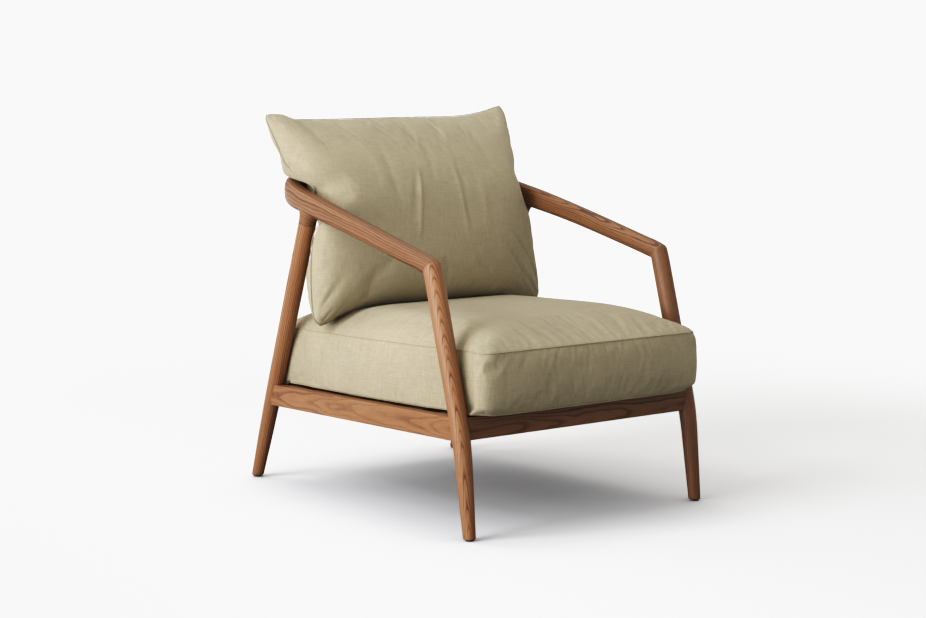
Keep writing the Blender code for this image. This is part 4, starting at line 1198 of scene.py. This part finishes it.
def soft_table(rows, sigmas=(0.016, 0.007, 0.007, 0.012, 0.016), count=600):
    """The rows as dense, rounded columns, so that no step shows in the cloth."""
    rows = np.array(rows)
    z = np.linspace(rows[0, 0], rows[-1, 0], count)
    step = z[1] - z[0]
    out = [z]
    for c, sigma in zip(range(1, rows.shape[1]), sigmas):
        reach = int(3 * sigma / step)
        kernel = np.exp(-0.5 * (np.arange(-reach, reach + 1) * step / sigma) ** 2)
        kernel /= kernel.sum()
        v = np.interp(z, rows[:, 0], rows[:, c])
        below = 2 * v[0] - v[1:reach + 1][::-1]
        above = 2 * v[-1] - v[-reach - 1:-1][::-1]
        out.append(np.convolve(np.concatenate([below, v, above]), kernel, "valid"))
    return out


BACK_TABLE = soft_table(BACK_SHAPE)
RAIL_INNER = ((0.0, 0.7756), (0.15, 0.7675), (0.19, 0.7610), (0.226, 0.7525), (0.256, 0.7380),
              (0.2765, 0.7130), (0.286, 0.6900), (0.294, 0.6600), (0.299, 0.6300), (0.31, 0.5950))
BACK_FRONT = np.array(Vector((0, -0.945, 0.327)).normalized())


def back_limit(x, z):
    top = np.interp(np.abs(x), (0.26, 0.29, 0.315, 0.34), (0.776, 0.762, 0.746, 0.738))
    near_rail = np_smooth((top - z) / 0.016) * np_smooth((z - 0.644) / 0.024)
    rail_y = np.interp(np.minimum(np.abs(x), 0.299), [r[0] for r in RAIL_INNER],
                       [r[1] for r in RAIL_INNER]) - 0.007
    limit = rail_y + (1 - near_rail) * 0.16
    near_leg = np_smooth((np.abs(x) - 0.225) / 0.040) * np_smooth((0.700 - z) / 0.040)
    foot, axis, _ = rear_axis(1)
    leg_y = foot.y - SHIFT.y + axis.y / axis.z * np.minimum(z, 0.70) - 0.0315
    return np.minimum(limit, leg_y + (1 - near_leg) * 0.40)


def press_back(co):
    """Settles the back face softly against the frame."""
    y = co[:, 1] - SHIFT.y
    limit = back_limit(co[:, 0], co[:, 2])
    over = y - limit
    t = np.clip((over + 0.012) / 0.024, 0, 1)
    y = np.where(over > -0.012, limit - 0.012 + 0.009 * t * (2 - t), y)
    co[:, 1] = y + SHIFT.y
    return co


def back_shape(u, f, w, fullness):
    z = BACK_SHAPE[0][0] + f * (BACK_SHAPE[-1][0] - BACK_SHAPE[0][0])
    y, left, right, power, thick = (np.interp(z, BACK_TABLE[0], BACK_TABLE[k])
                                    for k in range(1, 6))
    half = np.where(u < 0, left, right)
    beside = np_smooth((0.100 - np.abs(z - 0.750)) / 0.040)
    low = np_smooth((0.640 - z) / 0.060)
    x = u * half * (1 - (0.055 * beside * np.where(u < 0, 0.35, 1.0) + 0.020 * low)
                    * np.maximum(0.0, w))
    h = 2 * f - 1
    swell = np.maximum(0.0, 1 - np.abs(u) ** power) ** (1 / power)
    swell *= np.maximum(0.0, 1 - np.abs(h) ** np.where(h < 0, 8.0, 3.2)) ** (
        np.where(h < 0, 0.55, 0.60))
    depth = -w * (0.0012 + fullness * thick * swell)
    low_edge = np.interp(u, [r[0] for r in LOW_EDGE], [r[1] for r in LOW_EDGE])
    top_edge = np.interp(u, [r[0] for r in TOP_EDGE], [r[1] for r in TOP_EDGE])
    z = z + low_edge * (1 - f) ** 2 + top_edge * f ** 3
    # the four tips are rounded, not pointed
    tip = np.clip((np.abs(h) - 0.93) / 0.07, 0, 1) ** 2 * np.clip((np.abs(u) - 0.90) / 0.10, 0, 1) ** 2
    x = x * (1 - np.where((h < 0) & (u < 0), 0.040, 0.022) * tip)
    co = np.stack([x, y, z], axis=1)
    co = co + BACK_FRONT[None, :] * depth[:, None]
    co[:, 1] += SHIFT.y
    return co


def add_creases(obj):
    """Pulls a few soft upright folds into the front of the cushion."""
    co = coords_of(obj.data)
    normal = np.empty(len(co) * 3, np.float32)
    obj.data.vertices.foreach_get("normal", normal)
    front = np_smooth((-normal.reshape(-1, 3)[:, 1] - 0.35) / 0.35)
    x, z = co[:, 0], co[:, 2]
    push = np.zeros(len(co))
    for x1, z1, x0, z0, width, height in CREASES:
        t = (z - z0) / (z1 - z0)
        bend = 0.004 * np.sin(3.0 * t + 40.0 * x1)
        line = x0 + (x1 - x0) * t + bend
        fade = np_smooth(t / 0.30) * np_smooth((1 - t) / 0.30)
        push += height * fade * np.exp(-0.5 * ((x - line) / width) ** 2)
    co += BACK_FRONT[None, :] * (push * front)[:, None]
    set_coords(obj.data, co)


def rest_on(co, under, margin):
    """Lifts points that would sink into the piece below."""
    tree = BVHTree.FromPolygons([v.co.copy() for v in under.data.vertices],
                                [tuple(p.vertices) for p in under.data.polygons])
    for i in np.nonzero(co[:, 2] < 0.475)[0]:
        hit = tree.ray_cast(Vector((co[i, 0], co[i, 1], 0.60)), Vector((0, 0, -1)))[0]
        if hit is not None and co[i, 2] < hit.z + margin:
            co[i, 2] = hit.z + margin
    return co


def build_back():
    nx, nz = ((128, 96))
    bm = bmesh.new()
    rows, data = [], []

    def ease(t):                              # closer rows near the seam
        return math.sin(t * math.pi / 2) * 0.45 + t * 0.55

    grid = {}
    for face in (-1, 1):
        for i in range(nx + 1):
            for k in range(nz + 1):
                rim = i in (0, nx) or k in (0, nz)
                key = (i, k, 0 if rim else face)
                if key in grid:
                    continue
                u, h = ease(2 * i / nx - 1), ease(2 * k / nz - 1)
                grid[key] = bm.verts.new((0, 0, 0))
                data.append((u, (h + 1) / 2, 0.0 if rim else float(face)))
    for face in (-1, 1):
        for i in range(nx):
            for k in range(nz):
                q = []
                for a, b in ((i, k), (i + 1, k), (i + 1, k + 1), (i, k + 1)):
                    rim = a in (0, nx) or b in (0, nz)
                    q.append(grid[(a, b, 0 if rim else face)])
                bm.faces.new(q if face < 0 else q[::-1])
    data = np.array(data)
    mesh = mesh_from_bmesh("back_cushion_cover", bm)
    co = back_shape(data[:, 0], data[:, 1], data[:, 2], 0.92)
    co = press_back(co)
    set_coords(mesh, co)
    obj = new_object("back_cushion_cover", mesh)
    rim = np.nonzero(data[:, 2] == 0)[0]
    pin = obj.vertex_groups.new(name="pin")
    pin.add([int(i) for i in rim], 1.0, "REPLACE")
    cloth(obj, 20, 3.4, "pin", growth=0.009, bending=0.45, cap=0.012)
    co = press_back(coords_of(obj.data))
    set_coords(obj.data, co)
    u, f = data[rim, 0], data[rim, 1]
    order = np.argsort(np.arctan2(2 * f - 1, u))
    return obj, rim[order]


back, back_rim = build_back()
set_coords(back.data, rest_on(coords_of(back.data), seat, 0.0006))
BACK_CLEAR = ["arm_left", "arm_right", "back_rail", "rear_leg_left", "rear_leg_right"]
finish_cushion(back, BACK_CLEAR, 0.0015)
# the crook where the cushion spreads over the arm is eased
crook = back.vertex_groups.new(name="crook")
back_co = coords_of(back.data)
ease_by = (np_smooth((np.abs(back_co[:, 0]) - 0.258) / 0.025)
           * np_smooth((0.042 - np.abs(back_co[:, 2] - 0.737)) / 0.020))
for i in np.nonzero(ease_by > 0.01)[0]:
    crook.add([int(i)], float(ease_by[i]), "REPLACE")
smooth_by(back, 10, 0.5, "crook")
# the cloth's slanting ripples by the left foot are ironed out
ripple = back.vertex_groups.new(name="ripple")
back_co = coords_of(back.data)
ease_by = (np_smooth((0.610 - back_co[:, 2]) / 0.050) * np_smooth((back_co[:, 2] - 0.436) / 0.022)
           * np_smooth((0.322 - back_co[:, 0] * -1) / 0.022)
           * np_smooth((back_co[:, 0] * -1 - 0.040) / 0.050))
for i in np.nonzero(ease_by > 0.01)[0]:
    ripple.add([int(i)], float(ease_by[i]), "REPLACE")
smooth_by(back, 24, 0.5, "ripple")
set_coords(back.data, rest_on(coords_of(back.data), seat, 0.0006))
finish_cushion(back, BACK_CLEAR, 0.0015)
back_co = coords_of(back.data)
rim_line = [Vector(back_co[i]) for i in back_rim]
subdivide(back)
add_creases(back)
finish_cushion(back, BACK_CLEAR, 0.0020)
paint(back, LINEN)
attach(back, "root")
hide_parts("back_cushion")
welt = tube("back_cushion_seam", rim_line, 0.0010, True)
paint(welt, LINEN_WELT)
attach(welt, "root")

# ------------------------------------------------------------------- stage
BACKDROP = (0.935, 0.935, 0.935)


def build_stage():
    mesh = bpy.data.meshes.new("studio_floor")
    bm = bmesh.new()
    bmesh.ops.create_grid(bm, x_segments=8, y_segments=8, size=60)
    bm.to_mesh(mesh)
    bm.free()
    floor = new_object("studio_floor", mesh, smooth=False)
    n = Nodes("studio_floor")
    tex = n.add("ShaderNodeTexCoord")
    x, y, _ = n.split(tex.outputs["Object"])
    far = n.math("SQRT", n.math("ADD", n.math("MULTIPLY", x, x), n.math("MULTIPLY", y, y)))
    # seen by the camera the floor carries a painted shadow: its colour is darkened by an
    # ambient-occlusion term under and around the chair; to other rays it is dark grey, so it throws less
    # light back up at the chair
    seen_by = n.add("ShaderNodeLightPath").outputs["Is Camera Ray"]
    close = n.add("ShaderNodeAmbientOcclusion", samples=12)
    close.inputs["Distance"].default_value = 0.34
    painted_floor_shadow = n.remap(close.outputs["AO"], 0.30, 1.0, 0.70, 0.98, False)
    n.put(n.bsdf.inputs["Base Color"], n.mix(seen_by, (0.18, 0.18, 0.18, 1), n.grey(painted_floor_shadow)))
    n.bsdf.inputs["Roughness"].default_value = 0.95
    n.bsdf.inputs["Specular IOR Level"].default_value = 0.1
    glow = n.add("ShaderNodeEmission")
    glow.inputs["Color"].default_value = (*BACKDROP, 1)
    blend = n.add("ShaderNodeMixShader")
    n.put(blend.inputs[0], n.remap(far, 1.2, 3.4))
    n.put(blend.inputs[1], n.bsdf.outputs[0])
    n.put(blend.inputs[2], glow.outputs[0])
    n.put(n.tree.nodes["Material Output"].inputs["Surface"], blend.outputs[0])
    floor.data.materials.append(n.mat)
    world = bpy.data.worlds.new("studio")
    world.use_nodes = True
    tree = world.node_tree
    background = tree.nodes["Background"]
    background.inputs["Color"].default_value = (1.0, 1.0, 1.0, 1)
    background.inputs["Strength"].default_value = 0.40
    seen = tree.nodes.new("ShaderNodeBackground")
    seen.inputs["Color"].default_value = (*BACKDROP, 1)
    seen.inputs["Strength"].default_value = 1.0
    path = tree.nodes.new("ShaderNodeLightPath")
    blend = tree.nodes.new("ShaderNodeMixShader")
    tree.links.new(path.outputs["Is Camera Ray"], blend.inputs[0])
    tree.links.new(background.outputs[0], blend.inputs[1])
    tree.links.new(seen.outputs[0], blend.inputs[2])
    tree.links.new(blend.outputs[0], tree.nodes["World Output"].inputs["Surface"])
    bpy.context.scene.world = world


def area(name, place, target, size, power, colour=(1, 1, 1)):
    data = bpy.data.lights.new(name, "AREA")
    data.shape = "RECTANGLE"
    data.size, data.size_y = size
    data.energy = power
    data.color = colour
    obj = bpy.data.objects.new(name, data)
    bpy.context.scene.collection.objects.link(obj)
    obj.location = place
    obj.rotation_mode = "QUATERNION"
    obj.rotation_quaternion = (Vector(target) - Vector(place)).to_track_quat("-Z", "Y")
    return obj


build_stage()
COOL, WARM = (0.985, 1.0, 1.07), (1.03, 1.0, 0.90)
area("key", (-3.9, 0.15, 2.35), (0, 0, 0.35), (2.0, 1.8), 42, COOL)
area("key_high", (-3.0, 0.20, 3.20), (0, 0, 0.35), (2.0, 1.8), 28, COOL)
area("side_low", (-4.0, -0.05, 0.62), (0, 0, 0.35), (3.0, 1.0), 62, COOL)
area("side_front", (-3.7, -1.50, 1.30), (0, 0, 0.35), (2.0, 1.6), 15, WARM)
area("top", (0.6, 0.6, 4.2), (0, 0, 0.3), (3.0, 3.0), 24, WARM)
area("rear", (-1.8, 3.4, 2.8), (0, 0, 0.3), (2.0, 2.0), 22)

# ------------------------------------------------------------------ camera
camera_data = bpy.data.cameras.new("camera")
camera = bpy.data.objects.new("camera", camera_data)
bpy.context.scene.collection.objects.link(camera)
camera_data.sensor_width = 36.0
camera_data.lens = 77.1938
camera_data.clip_start, camera_data.clip_end = 0.05, 200.0
AZ, PITCH = math.radians(38.266), math.radians(6.487)
look = Vector((math.sin(AZ) * math.cos(PITCH), math.cos(AZ) * math.cos(PITCH), -math.sin(PITCH)))
right = Vector((math.cos(AZ), -math.sin(AZ), 0.0))
up = right.cross(look)
m = Matrix((right, up, -look)).transposed().to_4x4()
m.translation = Vector((-2.9035, -3.2344, 0.9650)) + SHIFT
camera.matrix_world = m
bpy.context.scene.camera = camera

# a print-like tone curve: soft highlights and firm shadows
view = bpy.context.scene.view_settings
view.view_transform = "Standard"
view.look = "None"
view.use_curve_mapping = True
curve = view.curve_mapping.curves[3]
POINTS = ((0.0, 0.0), (0.04, 0.027), (0.08, 0.075), (0.13, 0.155), (0.20, 0.28), (0.30, 0.45),
          (0.45, 0.65), (0.60, 0.825), (0.70, 0.908), (0.79, 0.936), (1.0, 0.942))
while len(curve.points) < len(POINTS):
    curve.points.new(0.5, 0.5)
for point, (x, y) in zip(curve.points, POINTS):
    point.location = (x, y)
view.curve_mapping.update()
